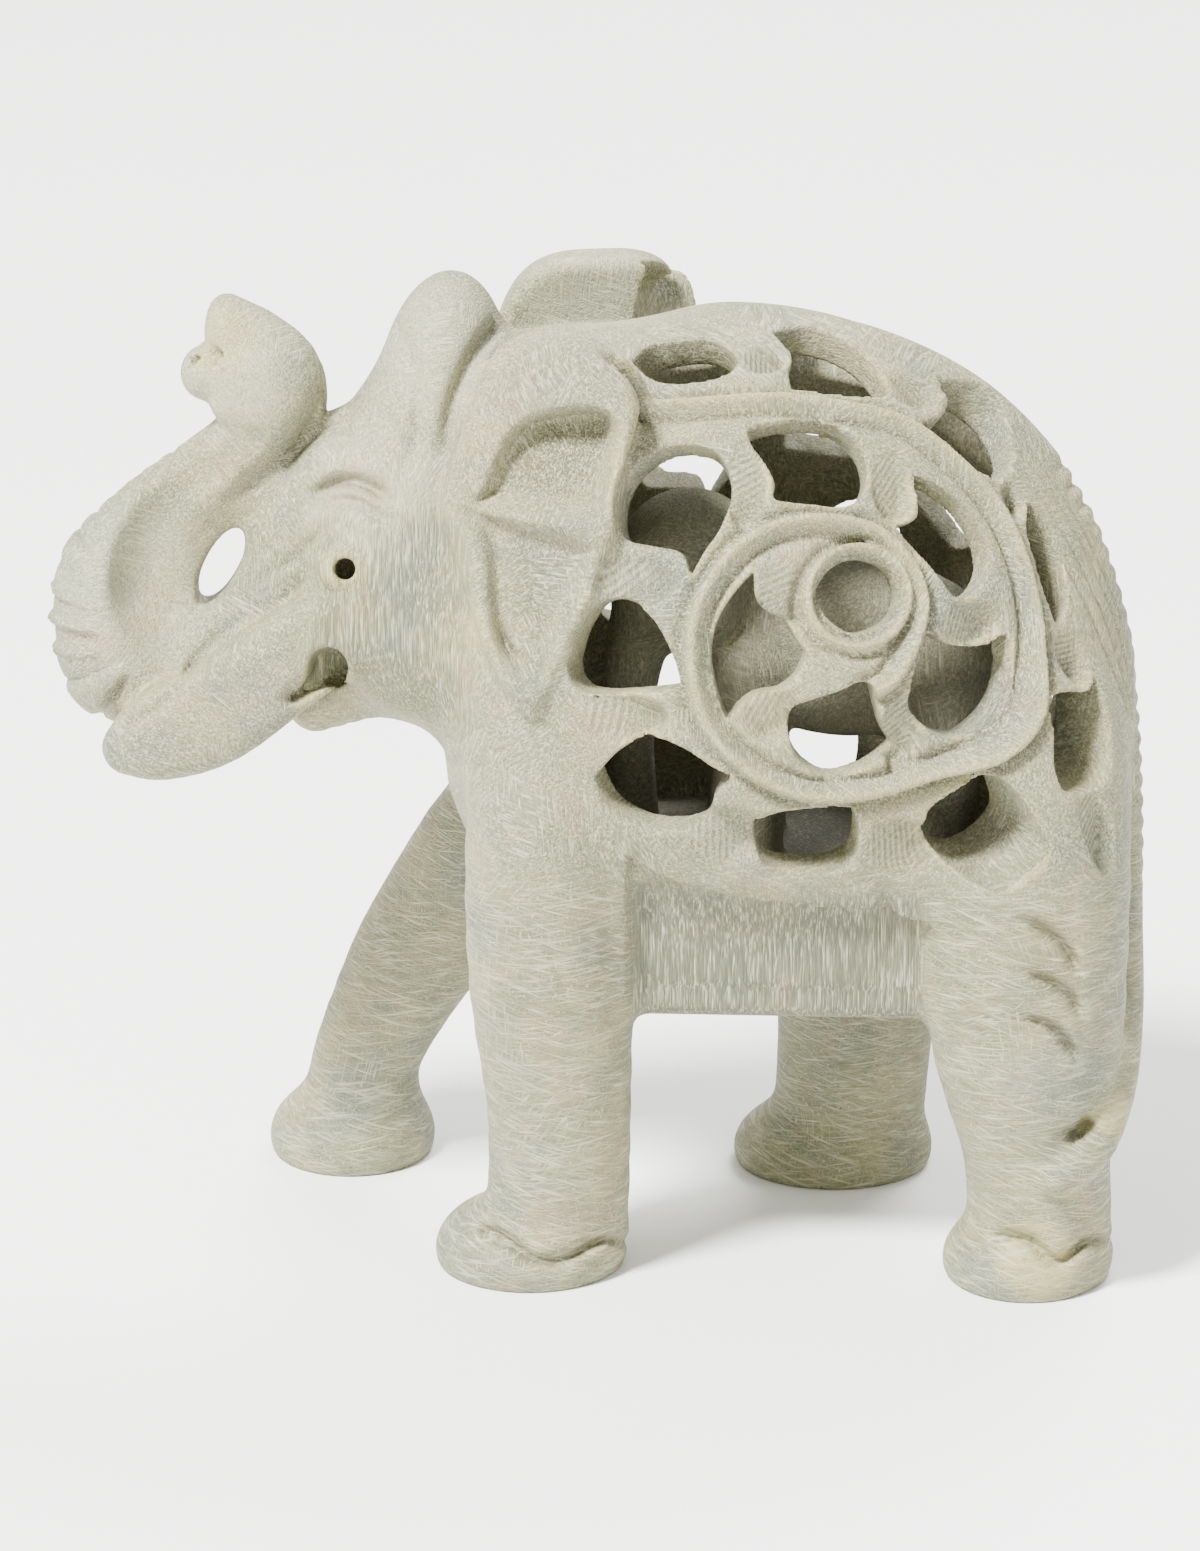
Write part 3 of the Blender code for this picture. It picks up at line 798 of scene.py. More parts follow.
class Ear(Form):
    """Ear flap: an outline in the side plane, a slanted slab and two bowls scooped in its outer face.

    Attributes:
        OUT, MIDDLE: Where the slab's middle lies from the figure's plane, at a place along and up.
        SPREAD, DROOP: How fast the slab goes out towards the rear, and in towards the top.
        SLANT: About the length of the slab's normal.
        BOWL_WALL: Run of a bowl's wall, inwards from its outline.
        BOWL_REACH, REAR_SHARE: How far behind its front line a bowl stays deep, and its depth there.
        FAR_SHARE, FAR_WALL: How deep the right ear's bowls are, and how far inside its outline.
    """

    NEAR = (
        "1040,318 1000,410 965,500 945,575 935,650 970,780 1010,890 1060,1000 1110,1100 1150,1118c "
        "1200,1000 1245,905 1290,830 1315,740 1340,660 1346,560 1370,480 1380,410 1345,335 1270,275 "
        "1190,253 1100,272"
    )
    FAR = (
        (-9.6, 62), (-10.8, 76), (-11.4, 88), (-9.9, 94.4), (-7.7, 97.6), (-4.5, 99.1), (0.0, 99.2),
        (3.6, 98.8), (6.4, 97.2), (8.2, 93.4), (8.8, 88), (7.0, 78), (3.0, 66), (-4.0, 57),
    )
    UPPER_BOWL = (
        "1003,628c 1040,560 1072,480 1120,430 1200,405 1290,402 1333,430 1345,500 1328,580 1300,660 "
        "1240,665 1150,645 1080,640"
    )
    UPPER_FRONT = "1003,628 1040,560 1072,480 1120,430 1200,405 1290,400"
    LOWER_BOWL = (
        "1012,645c 1055,720 1066,850 1085,930 1130,990 1160,1045c 1190,960 1235,880 1280,790 1292,720 "
        "1240,700 1150,670 1080,655"
    )
    LOWER_FRONT = "1010,645 1055,720 1066,850 1085,930 1130,990"
    OUT, THICK, SPREAD, DROOP = 15.7, 7.0, 0.30, -0.22
    MIDDLE = (-3.0, 78.0)
    SLANT = math.sqrt(1.13)
    UPPER_DEEP, LOWER_DEEP = 6.2, 4.6
    BOWL_WALL, BOWL_REACH, REAR_SHARE = (-0.3, 2.8), 11.0, 0.12
    FAR_SHARE, FAR_WALL = 0.6, (2.0, 5.0)
    INNER_WALL = 8.0

    def __init__(self, side: Side) -> None:
        """Lay the drawn lines on the ear's face."""
        self.side = side
        if side is Side.LEFT:
            self.loop = self.on_face(self.NEAR, True)
        else:
            self.loop = spline(np.array(self.FAR, float), 6, True)
        self.upper = self.on_face(self.UPPER_BOWL, True)
        self.lower = self.on_face(self.LOWER_BOWL, True)
        self.upper_front = self.on_face(self.UPPER_FRONT, False)
        self.lower_front = self.on_face(self.LOWER_FRONT, False)

    def on_face(self, text: str, closed: bool) -> Array:
        """Lay a drawn line on the left ear's outer face, along the line of sight."""
        drawn, corners = HEAD_DRAWING.read(text)
        sight = VIEW.sight(spline(drawn, 5, closed, corners))
        tilt = np.array([self.SPREAD, 1.0, self.DROOP])
        start = VIEW.eye - np.array([self.MIDDLE[0], -self.OUT - self.THICK / 2, self.MIDDLE[1]])
        spot = VIEW.eye - sight * (start @ tilt / (sight @ tilt))[:, None]
        return spot[:, [0, 2]]

    def box(self) -> tuple[Array, Array]:
        """Corners of the flap."""
        y = sorted((self.side.value * 4.0, self.side.value * 27.0))
        return np.array([-16.0, y[0], 52.0]), np.array([12.0, y[1], 101.0])

    def dip(self, x: Array, z: Array) -> Array:
        """Depth of the two bowls: steep along their front lines, shallow towards the rear rim."""
        total = 0.0
        for loop, front, deep in (
            (self.upper, self.upper_front, self.UPPER_DEEP),
            (self.lower, self.lower_front, self.LOWER_DEEP),
        ):
            gap, _ = line_distance(x, z, front)
            wall = ease(*self.BOWL_WALL, -outline_distance(x, z, loop))
            front_share = np.exp(-((gap / self.BOWL_REACH) ** 1.5))
            total = total + deep * wall * (self.REAR_SHARE + (1 - self.REAR_SHARE) * front_share)
        return total

    def distance(self, block: Block) -> Array:
        """Outline and slab together, less the bowls."""
        x, z = np.broadcast_arrays(block.x[:, 0, :], block.z[0, :, :])
        edge = outline_distance(x, z, self.loop)
        dip = self.dip(x, z)
        out = self.side.value * block.y - self.OUT
        out = out - self.SPREAD * (block.x - self.MIDDLE[0]) - self.DROOP * (block.z - self.MIDDLE[1])
        inner = -out - self.THICK / 2
        if self.side is Side.RIGHT:
            wall = self.INNER_WALL + self.SPREAD * (block.x - self.MIDDLE[0]) - block.y
            inner = np.minimum(inner, wall)
            dip = self.FAR_SHARE * dip * ease(*self.FAR_WALL, -edge)
        slab = np.maximum(out - self.THICK / 2 + dip[:, None, :], inner) / self.SLANT
        return overlap(edge[:, None, :], slab, 2.0)


def mirrored(knots: list[Knot], side: Side) -> list[Knot]:
    """Knots of the right side, moved to a side of the figure."""
    return [(x, side.value * y, z, radius) for x, y, z, radius in knots]


class Figure:
    """The whole carving as one field.

    Attributes:
        BAND_STEP, BAND_RISE, BAND_START, BAND_END: Depth of the step to the belly, and where it comes in
            and goes out, along z and then x.
        HOLE_RUN, HOLE_SLOPE: Shares of the way out between which the holes are cut, and millimetres to
            one share.
        RING_EDGE, RING_FADE: Distances from the curl's middle over which the scallops come in, and the
            length over which they start and end.
        TOOTH_START, TOOTH_FADE: Where along the spine the teeth start, and over what length.
        BACK_LINES: Distances from the middle of the file lines down the back.
    """

    CORNERS = (-58.5, -27.6, -1.2), (58.2, 27.6, 101.4)
    HEAD_BOX = (-54, -26, 48), (6, -2, 100)
    LEG_BOX = (-25, -28, 0), (57, -6, 44)
    BACK_BOX = np.array([20, -9, 24]), np.array([58, 9, 99])
    BODY_BOX = np.array([-20, -28, 24]), np.array([58, 28, 100])
    WALL, WALL_BLEND = 3.5, 0.8
    BAND_STEP, BAND_RISE, BAND_START, BAND_END = 1.5, (27.5, 31), (4, 5.2), (33, 36)
    HOLE_RUN, HOLE_SLOPE, HOLE_BLEND = (0.60, 1.4), 25, 0.2
    HOLLOW_FRONT, HOLLOW_FLOOR = -2.0, 40.0
    LEG_BLEND, FOOT_BLEND, CALF_BLEND = 2.0, 2.5, 1.6
    TRUNK_BLEND, WEB_BLEND, TIP_BLEND = 1.2, 2.5, 1.0
    TUSK_BLEND, TUSK_EDGE, EAR_BLEND = 1.8, 1.6, 1.2
    MASSES = (
        (Ellipsoid((-2.5, 0, 60), (13.5, 19.5, 27)), 6.0),
        (Ellipsoid((-3, 0, 78.5), (14.5, 15.5, 15.4)), 6.0),
        (Ellipsoid((42.5, 0, 48), (11.9, 20.5, 22.5)), 6.0),
        (RoundBox((18, 0, 39.5), (19.5, 20.5, 12.5), 5), 5.0),
    )
    LEGS = (
        [(-2.5, -11, 60, 9), (-3.8, -15.5, 44, 8.4), (-3.6, -16.2, 30, 8.2), (-2.8, -16.5, 17, 7.2),
         (-2.9, -16.5, 5, 7.1)],
        [(42, -8, 54, 12.5), (43.4, -12.5, 40, 11.4), (44.8, -15.5, 24, 9.5), (45.8, -16.5, 14, 7.4),
         (46.3, -16.5, 5, 7.2)],
        [(-1.5, 12, 58, 8.5), (-6.4, 14.5, 41.6, 7.8), (-12.2, 15.4, 33.4, 7.4), (-17.4, 16, 25.3, 6.9),
         (-20.9, 16, 19.5, 6.3), (-24.8, 16, 11, 5.5), (-25.6, 16, 5, 5.9)],
        [(37, 9, 52, 11), (31.5, 13, 38, 10), (27.2, 14.7, 26, 8.8), (26.6, 15, 15, 8), (26, 15, 5, 7.7)],
    )
    FEET = (
        Ellipsoid((-5.9, -15.9, 1.4), (9.6, 10.2, 5.6)),
        Ellipsoid((44.9, -16.3, 1.4), (8.5, 10, 5.3)),
        Ellipsoid((-26.6, 16.2, 1.6), (8.7, 9.9, 5.8)),
        Ellipsoid((24.3, 15, 1.5), (10.4, 10, 5.6)),
    )
    SKULL = (
        (Ellipsoid((-15.4, 0, 87.1), (6.8, 9.6, 13.0), 5), 4.0),
        (Ellipsoid((-20, 0, 74), (10.4, 12, 15), 14), 5.0),
        (Ellipsoid((-15.5, 0, 64), (12.5, 13, 11)), 5.0),
        (Chain([(-14.5, 0, 61, 7.2), (-22, 0, 58.4, 5.1), (-28.6, 0, 54.4, 3.0)]), 2.0),
    )
    TRUNK = [
        (-24.5, 0, 78, 7.6), (-29.5, 0, 71, 6.6), (-34, 0, 64.8, 5.4), (-41.5, 0, 58.4, 5.9),
        (-48.2, 0, 59, 6.8), (-49.4, 0, 66.3, 6.2), (-45, 0, 72.6, 5.5), (-39.4, 0, 77.6, 4.7),
        (-33.8, 0, 82.4, 4.8), (-33, 0, 88.0, 5.6), (-35.6, 0, 92.4, 4.1),
    ]
    TRUNK_TIP = (
        RoundBox((-34.6, 0, 88.9), (4.4, 5.2, 4.4), 2.8),
        Ellipsoid((-36.8, 0, 94.2), (2.4, 4.0, 3.3), -20),
        Ellipsoid((-39.2, 0, 89.4), (2.8, 4.0, 2.9), 30),
    )
    TIP_NOTCH, NOTCH_SIDE, NOTCH_BLEND = [(-42.6, 0, 93.4, 1.4), (-37.8, 0, 91.8, 0.9)], 3.5, 0.5
    NOSTRIL, NOSTRIL_BLEND = [(-42.5, 1.9, 91.4, 0.8), (-38.5, 1.9, 90.4, 0.7)], 0.3
    TRUNK_WEB = Ellipsoid((-37.6, 0, 70.4), (6.3, 2.4, 12.0), 27)
    TRUNK_LOOP, LOOP_BLEND = Ellipsoid((-38.1, 0, 69.2), (1.7, 40, 4.6), 26), 0.8
    TRUNK_DISH, DISH_BLEND = ((-39.6, 9.4, 69.5), (7.4, 7.2, 11.5), 27), 1.5
    VALLEY_BLEND = 1.2
    TRUNK_VALLEY = [
        (-34.5, 6, 83, 1.8), (-39.4, 6.2, 80, 2.8), (-43, 6.6, 76.5, 3.8), (-44.4, 6.8, 72, 4.5),
        (-44.2, 6.8, 67.5, 4.7), (-42, 6.6, 64.6, 3.6),
    ]
    CURL_MIDDLE = (-39.5, 68.5)
    RING_PITCH, RING_DEPTH, RING_FIRST, RING_LAST = 2.3, 0.9, 22.0, 58.0
    RING_EDGE, RING_FADE = (10.8, 14.0), 5
    TUSK = [
        (-24, 8.5, 66, 4.8), (-31, 8.6, 61.2, 5), (-38.2, 8.6, 55.9, 5.3), (-43.4, 8.6, 53.5, 4.7),
        (-46.9, 8.4, 52, 2.9),
    ]
    TUSK_OUT = 11.8
    TAIL = [
        (48.6, 0, 74, 2), (51, 0, 65, 2.2), (52.6, 0, 55, 2.5), (53.4, 0, 42, 2.6), (53.8, -3, 32, 2.6),
        (54, -9.5, 25, 2.5), (53.2, -16.5, 19.4, 2.5), (51, -21.5, 15, 2.4), (48, -23.8, 12.6, 1.7),
    ]
    TAIL_BLEND, SPINE_BLEND = 1.2, 0.9
    SPINE = [
        (16, 0, 95.6, 1.3), (28, 0, 93.5, 1.4), (37.6, 0, 88.9, 1.5), (44.6, 0, 82.3, 1.6),
        (48.8, 0, 75.5, 1.7), (51.6, 0, 67.4, 1.8), (53.2, 0, 58, 2.0), (54.0, 0, 46, 2.1),
        (53.9, 0, 36, 2.1), (53.2, -1.5, 27, 2.0),
    ]
    TOOTH_PITCH, TOOTH_DEPTH, TOOTH_START, TOOTH_FADE = 2.2, 0.65, 33.0, 4
    BACK_LINES, BACK_LINE_DEEP, BACK_LINE_WIDE = (2.8, 4.6, 6.6, 8.8), 0.4, 0.4
    BACK_RUN, BACK_RISE = (20, 30), (30, 45)
    EYE, EYE_DRILL, EYE_DEPTH = (-24.6, 11.0, 72.0), 1.1, 2.0
    EYE_RING, EYE_RING_IN, EYE_RING_BLEND = (2.8, 1.5, 2.8), 0.2, 0.4
    MOUTH, MOUTH_DRILL, MOUTH_DEPTH = (-26.4, 9.0, 61.0), 2.0, 5.5
    DRILL_SLOPE, DRILL_START, DRILL_BLEND = 0.32, 9.0, 0.2
    CALF = (
        Ellipsoid((26, 0, 61.5), (14, 7.4, 9.5)),
        Ellipsoid((35, 0, 58), (6.5, 7, 9.5)),
        Ellipsoid((9.4, 0, 69.2), (7.8, 5.8, 8.6), 12),
        Ellipsoid((12.5, 0, 67), (3, 8.2, 6)),
        Chain([(7, 0, 68, 4.2), (4.2, 0, 61, 3.2), (3.4, 0, 52, 2.6), (4, 0, 38, 3)]),
        Chain([(16, -4, 60, 4.2), (15.5, -4, 38, 3.8)]),
        Chain([(16, 4, 60, 4.2), (15.5, 4, 38, 3.8)]),
        Chain([(35, -4, 58, 4.6), (35.5, -4, 38, 3.8)]),
        Chain([(35, 4, 58, 4.6), (35.5, 4, 38, 3.8)]),
    )

    def __init__(self, pitch: float) -> None:
        """Build the field at a grid pitch in millimetres."""
        self.grid = Grid(*self.CORNERS, pitch)
        self.vine = Vine()
        self.body()
        self.head()
        self.tail()
        Sketch(HEAD_CUTS).carve(self.grid, *self.HEAD_BOX, False)
        Sketch(LEG_CUTS).carve(self.grid, *self.LEG_BOX, True)
        self.pierce()
        self.calf()
        self.floor()

    def body(self) -> None:
        """Trunk of the body, legs and feet."""
        grid = self.grid
        grid.join(Egg(), 0)
        for mass, blend in self.MASSES:
            grid.join(mass, blend)
        for knots, foot in zip(self.LEGS, self.FEET):
            grid.join(Chain(knots, 3, 0.6), self.LEG_BLEND)
            grid.join(foot, self.FOOT_BLEND)

    def head(self) -> None:
        """Skull, trunk, tusks, ears, eyes and mouth."""
        for mass, blend in self.SKULL:
            self.grid.join(mass, blend)
        self.trunk()
        for side in Side:
            tusk = Chain(mirrored(self.TUSK, side))
            block = self.grid.around(tusk, 3)
            blade = overlap(tusk.distance(block), side.value * block.y - self.TUSK_OUT, self.TUSK_EDGE)
            self.grid.merge(block, blade, self.TUSK_BLEND)
            self.grid.join(Ear(side), self.EAR_BLEND)
        for side in Side:
            x, y, z = self.EYE
            ring = Ellipsoid((x, side.value * (y - self.EYE_RING_IN), z), self.EYE_RING)
            self.grid.join(ring, self.EYE_RING_BLEND)
            self.drill(side, self.EYE, self.EYE_DRILL, self.EYE_DEPTH)
            self.drill(side, self.MOUTH, self.MOUTH_DRILL, self.MOUTH_DEPTH)

    def trunk(self) -> None:
        """Curled trunk with its scallops, split tip, dished sides and the loop through it."""
        grid = self.grid
        trunk = Chain(self.TRUNK, 4, 0.5)
        block = grid.around(trunk, 2.5)
        gap, along = trunk.measure(block)
        grid.merge(block, gap + self.rings(block, along), self.TRUNK_BLEND)
        grid.join(self.TRUNK_WEB, self.WEB_BLEND)
        for tip in self.TRUNK_TIP:
            grid.join(tip, self.TIP_BLEND)
        for out in (-self.NOTCH_SIDE, self.NOTCH_SIDE, 0):
            grid.cut(Chain([(x, out, z, radius) for x, _, z, radius in self.TIP_NOTCH], 1), self.NOTCH_BLEND)
        for side in Side:
            (x, y, z), half, tilt = self.TRUNK_DISH
            grid.cut(Ellipsoid((x, side.value * y, z), half, tilt), self.DISH_BLEND)
            grid.cut(Chain(mirrored(self.TRUNK_VALLEY, side), 4), self.VALLEY_BLEND)
            grid.cut(Chain(mirrored(self.NOSTRIL, side), 1), self.NOSTRIL_BLEND)
        grid.cut(self.TRUNK_LOOP, self.LOOP_BLEND)

    def drill(self, side: Side, spot: Place, radius: float, depth: float) -> None:
        """Bore a hole that slopes down and inwards from outside the stone."""
        x, y, z = spot
        runs = (-depth, self.DRILL_START)
        ends = [(x, side.value * (y + out), z + self.DRILL_SLOPE * out, radius) for out in runs]
        self.grid.cut(Chain(ends, 1), self.DRILL_BLEND)

    def rings(self, block: Block, along: Array) -> Array:
        """Scallops across the outer side of the trunk's curl."""
        cx, cz = self.CURL_MIDDLE
        out = np.hypot(block.x - cx, block.z - cz)
        outer = ease(*self.RING_EDGE, out)
        first, last, fade = self.RING_FIRST, self.RING_LAST, self.RING_FADE
        run = within(along, first, first + fade, last - fade, last)
        wave = (1 - np.abs(np.sin(math.pi * along / self.RING_PITCH))) ** 0.8
        return self.RING_DEPTH * wave * outer * run

    def tail(self) -> None:
        """Tail and the toothed ridge that runs down the spine to it."""
        grid = self.grid
        grid.join(Chain(self.TAIL, 4), self.TAIL_BLEND)
        spine = Chain(self.SPINE, 6)
        block = grid.around(spine, 2)
        gap, along = spine.measure(block)
        gaps = 1 - np.abs(np.sin(math.pi * along / self.TOOTH_PITCH))
        toothed = ease(self.TOOTH_START, self.TOOTH_START + self.TOOTH_FADE, along)
        grid.merge(block, gap + self.TOOTH_DEPTH * gaps * toothed, self.SPINE_BLEND)
        block = grid.block(*self.BACK_BOX)
        y = np.abs(block.y)
        lines = sum(self.BACK_LINE_DEEP * bell(y, at, self.BACK_LINE_WIDE) for at in self.BACK_LINES)
        lines = lines * ease(*self.BACK_RUN, block.x) * ease(*self.BACK_RISE, block.z)
        grid.values[block.where] = grid.values[block.where] + lines

    def pierce(self) -> None:
        """Hollow the body, raise the vine and cut the holes through the wall."""
        grid, egg, vine = self.grid, Egg(), self.vine
        block = grid.block(*self.BODY_BOX)
        values = grid.values[block.where]
        i, j, k = np.nonzero(np.abs(values) < 5.0)
        x, y, z = block.x[i, 0, 0], block.y[0, j, 0], block.z[0, 0, k]
        back, up, share = egg.flank(x, y, z)
        on_flank = ease(4.0, 7.0, np.abs(y)) * (share > 0.8)
        step = self.BAND_STEP * vine.band.read(back, up) * ease(*self.BAND_RISE, z)
        step = step * ease(*self.BAND_START, x) * (1 - ease(*self.BAND_END, x))
        values[i, j, k] = values[i, j, k] + (step - vine.rise.read(back, up)) * on_flank
        inner = Egg(self.WALL).distance(block)
        inner = np.maximum(np.maximum(inner, self.HOLLOW_FRONT - block.x), self.HOLLOW_FLOOR - block.z)
        values = overlap(values, -inner, self.WALL_BLEND)
        i, j, k = np.nonzero(values < 3.0)
        x, y, z = block.x[i, 0, 0], block.y[0, j, 0], block.z[0, 0, k]
        back, up, share = egg.bored(x, y, z)
        ends = np.maximum(self.HOLE_RUN[0] - share, share - self.HOLE_RUN[1]) * self.HOLE_SLOPE
        cut = np.maximum(vine.hole.read(back, up), ends)
        values[i, j, k] = overlap(values[i, j, k], -cut, self.HOLE_BLEND)
        grid.values[block.where] = values

    def calf(self) -> None:
        """The calf that stands free in the hollow."""
        for form in self.CALF:
            self.grid.join(form, self.CALF_BLEND)

    def floor(self) -> None:
        """Cut the soles flat at height 0."""
        height = self.grid.axes[2][None, None, :].astype(np.float32)
        self.grid.values = np.maximum(self.grid.values, -height)


# Marks the finish reads: hollow carries painted shade as well as crease dirt, grey the belly's painted shade,
# pale painted light, inside partly painted shade.
MARKS = ("hollow", "worn", "inside", "leaf", "stroke", "level", "upright", "grey", "pale", "blush")


@dataclass(frozen=True)
class Region:
    """Part of the side view: where it starts, is full, starts to fade and ends, along x and along z."""

    along: Span
    high: Span

    def share(self, x: Array, z: Array) -> Array:
        """How far points lie in the region."""
        return within(x, *self.along) * within(z, *self.high)


class Skin:
    """The mesh of the zero level of a field.

    Attributes:
        LIMIT: Most triangles.
        BLUSHES, PAINTED_LIGHT_SPOTS, YELLOWED: Pinkish spots; spots of painted light on the top of the head and
            trunk and on the far ear's wall that the dome shades; and yellowed spots; each a middle and a
            radius.
        HOLLOW_REACHES, WORN_REACH: How far out hollows are felt, for a darkening that is partly dirt in the
            creases and partly painted shade, and how far in edges are felt.
        LEG_TOP: Heights between which the level strokes of the legs end.
    """

    LIMIT = 195000
    BLUSHES = (
        ((2.0, -22, 58.0), 3.6), ((-4.0, -24, 27.5), 2.6), ((-1.5, -24, 21.5), 2.4),
        ((-11, -19, 92), 3.2), ((-50, -4, 62), 3.5), ((-47, -4, 55), 3.0), ((-3, -23, 7), 3.0),
        ((-40, -12, 56), 2.5), ((33, -18, 43), 3.0),
    )
    # Painted light: lighter spots on the far ear's inner wall, which the dome shades, and on the dome, trunk
    # curl, trunk tip and temple.
    PAINTED_LIGHT_SPOTS = (
        ((0, 9, 94), 9.0), ((-16, -6, 93), 8.0), ((-47, -5, 67), 9.0), ((-36, -3, 90), 7.0),
        ((-22, -10, 80), 8.0),
    )
    YELLOWED = (
        ((52.5, -19, 17.5), 4.0), ((46, -24, 4), 5.0), ((-24.6, -11, 72), 3.0), ((4.7, -22, 91), 4.0),
        ((-12, -18, 68), 4.0), ((-10.9, -18, 93.8), 3.0), ((-44, -6, 50), 4.0), ((-37, -4, 94), 4.0),
    )
    BELLY = Region((4, 6, 33, 35), (25, 27, 40, 43))
    CHEEK = Region((-30, -26, -14, -10), (54, 58, 76, 82))
    LOW_FLANK = Region((-12, -8, 48, 52), (22, 30, 46, 54))
    LEG_TOP = (40, 48)
    HOLLOW_REACHES, WORN_REACH = (1.0, 3.5), 0.7
    # Painted shade: how dark the low flank, the deep front of the ears' bowls and the grooves beside the stem
    # are made, where the shade falls.
    LOW_FLANK_DIRT, BOWL_DIRT, GUTTER_DIRT = 0.45, 0.95, 0.7
    SPOT_WEAR, CREST_WEAR = 0.8, 0.7
    EDGES = [(a, b) for a in range(8) for b in range(a + 1, 8) if bin(a ^ b).count("1") == 1]

    def __init__(self, figure: Figure) -> None:
        """Keep the figure that the skin is taken from."""
        self.figure = figure
        self.grid = figure.grid

    def net(self) -> tuple[Array, Array]:
        """Points and quads of the zero level.

        Each cell that the level passes through gets one point, the mean of the crossings on its edges.
        Each grid edge that crosses the level gets one quad, which joins the points of its four cells.

        Returns:
            Points in millimetres, and rows of four point numbers.
        """
        values = self.grid.values
        inside = values < 0
        count = np.zeros(np.array(values.shape) - 1, np.uint8)
        for corner in np.ndindex(2, 2, 2):
            count += inside[tuple(slice(c, c + n) for c, n in zip(corner, count.shape))]
        i, j, k = np.nonzero((count > 0) & (count < 8))
        number = np.full(count.shape, -1, np.int32)
        number[i, j, k] = np.arange(len(i))
        offsets = np.array([[n & 1, n >> 1 & 1, n >> 2 & 1] for n in range(8)])
        corners = np.stack([values[i + a, j + b, k + c] for a, b, c in offsets], axis=1)
        total, hits = np.zeros((len(i), 3)), np.zeros(len(i))
        for a, b in self.EDGES:
            va, vb = corners[:, a], corners[:, b]
            cross = (va < 0) != (vb < 0)
            t = np.where(cross, va / np.where(cross, va - vb, 1), 0)
            spot = offsets[a] + t[:, None] * (offsets[b] - offsets[a])
            total += np.where(cross[:, None], spot, 0)
            hits += cross
        points = self.grid.low + self.grid.pitch * (np.stack([i, j, k], axis=1) + total / hits[:, None])
        quads = []
        for axis in range(3):
            b, c = (axis + 1) % 3, (axis + 2) % 3
            first = np.moveaxis(inside, (axis, b, c), (0, 1, 2))
            cells = np.moveaxis(number, (axis, b, c), (0, 1, 2))
            change = first[:-1, 1:-1, 1:-1] != first[1:, 1:-1, 1:-1]
            p, q, r = np.nonzero(change)
            ring = (cells[p, q, r], cells[p, q + 1, r], cells[p, q + 1, r + 1], cells[p, q, r + 1])
            quad = np.stack(ring, axis=1)
            turned = ~first[p, q + 1, r + 1]
            quad[turned] = quad[turned][:, ::-1]
            quads.append(quad)
        return points, np.concatenate(quads)

    def build(self) -> bpy.types.Object:
        """Make the mesh object, thinned to the limit."""
        points, quads = self.net()
        LOG.info("net: %d points, %d quads", len(points), len(quads))
        for _ in range(2):
            step = np.clip(self.grid.sample(points), -0.2, 0.2)
            points = points - step[:, None] * self.grid.slope(points, self.grid.pitch * 0.6)
        mesh = bpy.data.meshes.new("elephant_net")
        mesh.from_pydata(points * MM, [], quads)
        piece = bpy.data.objects.new("carved_elephant", mesh)
        bpy.context.scene.collection.objects.link(piece)
        thin = piece.modifiers.new("thin", "DECIMATE")
        thin.ratio = min(1.0, self.LIMIT / (2 * len(quads)))
        graph = bpy.context.evaluated_depsgraph_get()
        final = bpy.data.meshes.new_from_object(piece.evaluated_get(graph))
        piece.modifiers.clear()
        piece.data = final
        final.name = "carved_elephant"
        bpy.data.meshes.remove(mesh)
        final.shade_smooth()
        self.mark(final)
        LOG.info("skin: %d points, %d faces", len(final.vertices), len(final.polygons))
        return piece

    def mark(self, mesh: bpy.types.Mesh) -> None:
        """Store what the finish needs at each point of the mesh."""
        flat = np.zeros(len(mesh.vertices) * 3, np.float32)
        mesh.vertices.foreach_get("co", flat)
        marks = self.marks(flat.reshape(-1, 3).astype(float) / MM)
        for name in MARKS:
            layer = mesh.attributes.new(name, "FLOAT", "POINT")
            layer.data.foreach_set("value", np.ascontiguousarray(marks[name], np.float32))

    def marks(self, points: Array) -> dict[str, Array]:
        """What the finish needs at points of the skin.

        Args:
            points: Rows of x, y and z in millimetres.

        Returns:
            Values by name: shares from 0 to 1, and for stroke the place across a leaf's strokes.
        """
        sample, vine = self.grid.sample, self.figure.vine
        x, y, z = points.T
        out = self.grid.slope(points, 0.5)
        # Darkening where the stone closes in around a point: partly dirt in the creases, partly painted shade.
        hollows = [np.clip(1 - sample(points + out * reach) / reach, 0, 1) for reach in self.HOLLOW_REACHES]
        worn = np.clip(1 + sample(points - out * self.WORN_REACH) / self.WORN_REACH, 0, 1)
        back, up, share = Egg().flank(x, y, z)
        on_flank = ease(5.0, 8.0, np.abs(y)) * ease(0.92, 0.97, share)
        gutter, crest = vine.gutter.read(back, up) * on_flank, vine.crest.read(back, up) * on_flank
        ear = Ear(Side.LEFT)
        # Painted shade in the deep front of the ears' bowls.
        bowl = ear.dip(x, z) / ear.UPPER_DEEP * ease(12, 14, np.abs(y)) * (1 - ease(8, 9, x))
        # Takes most of the painted crease shade off the far ear's inner wall, to lighten it where the dome's
        # shadow falls.
        open_wall = 1 - 0.7 * ease(4, 8, y) * (1 - ease(14, 18, x)) * ease(84, 88, z)
        belly, cheek = self.BELLY.share(x, z), self.CHEEK.share(x, z)
        low_flank = self.LOW_FLANK.share(x, z)
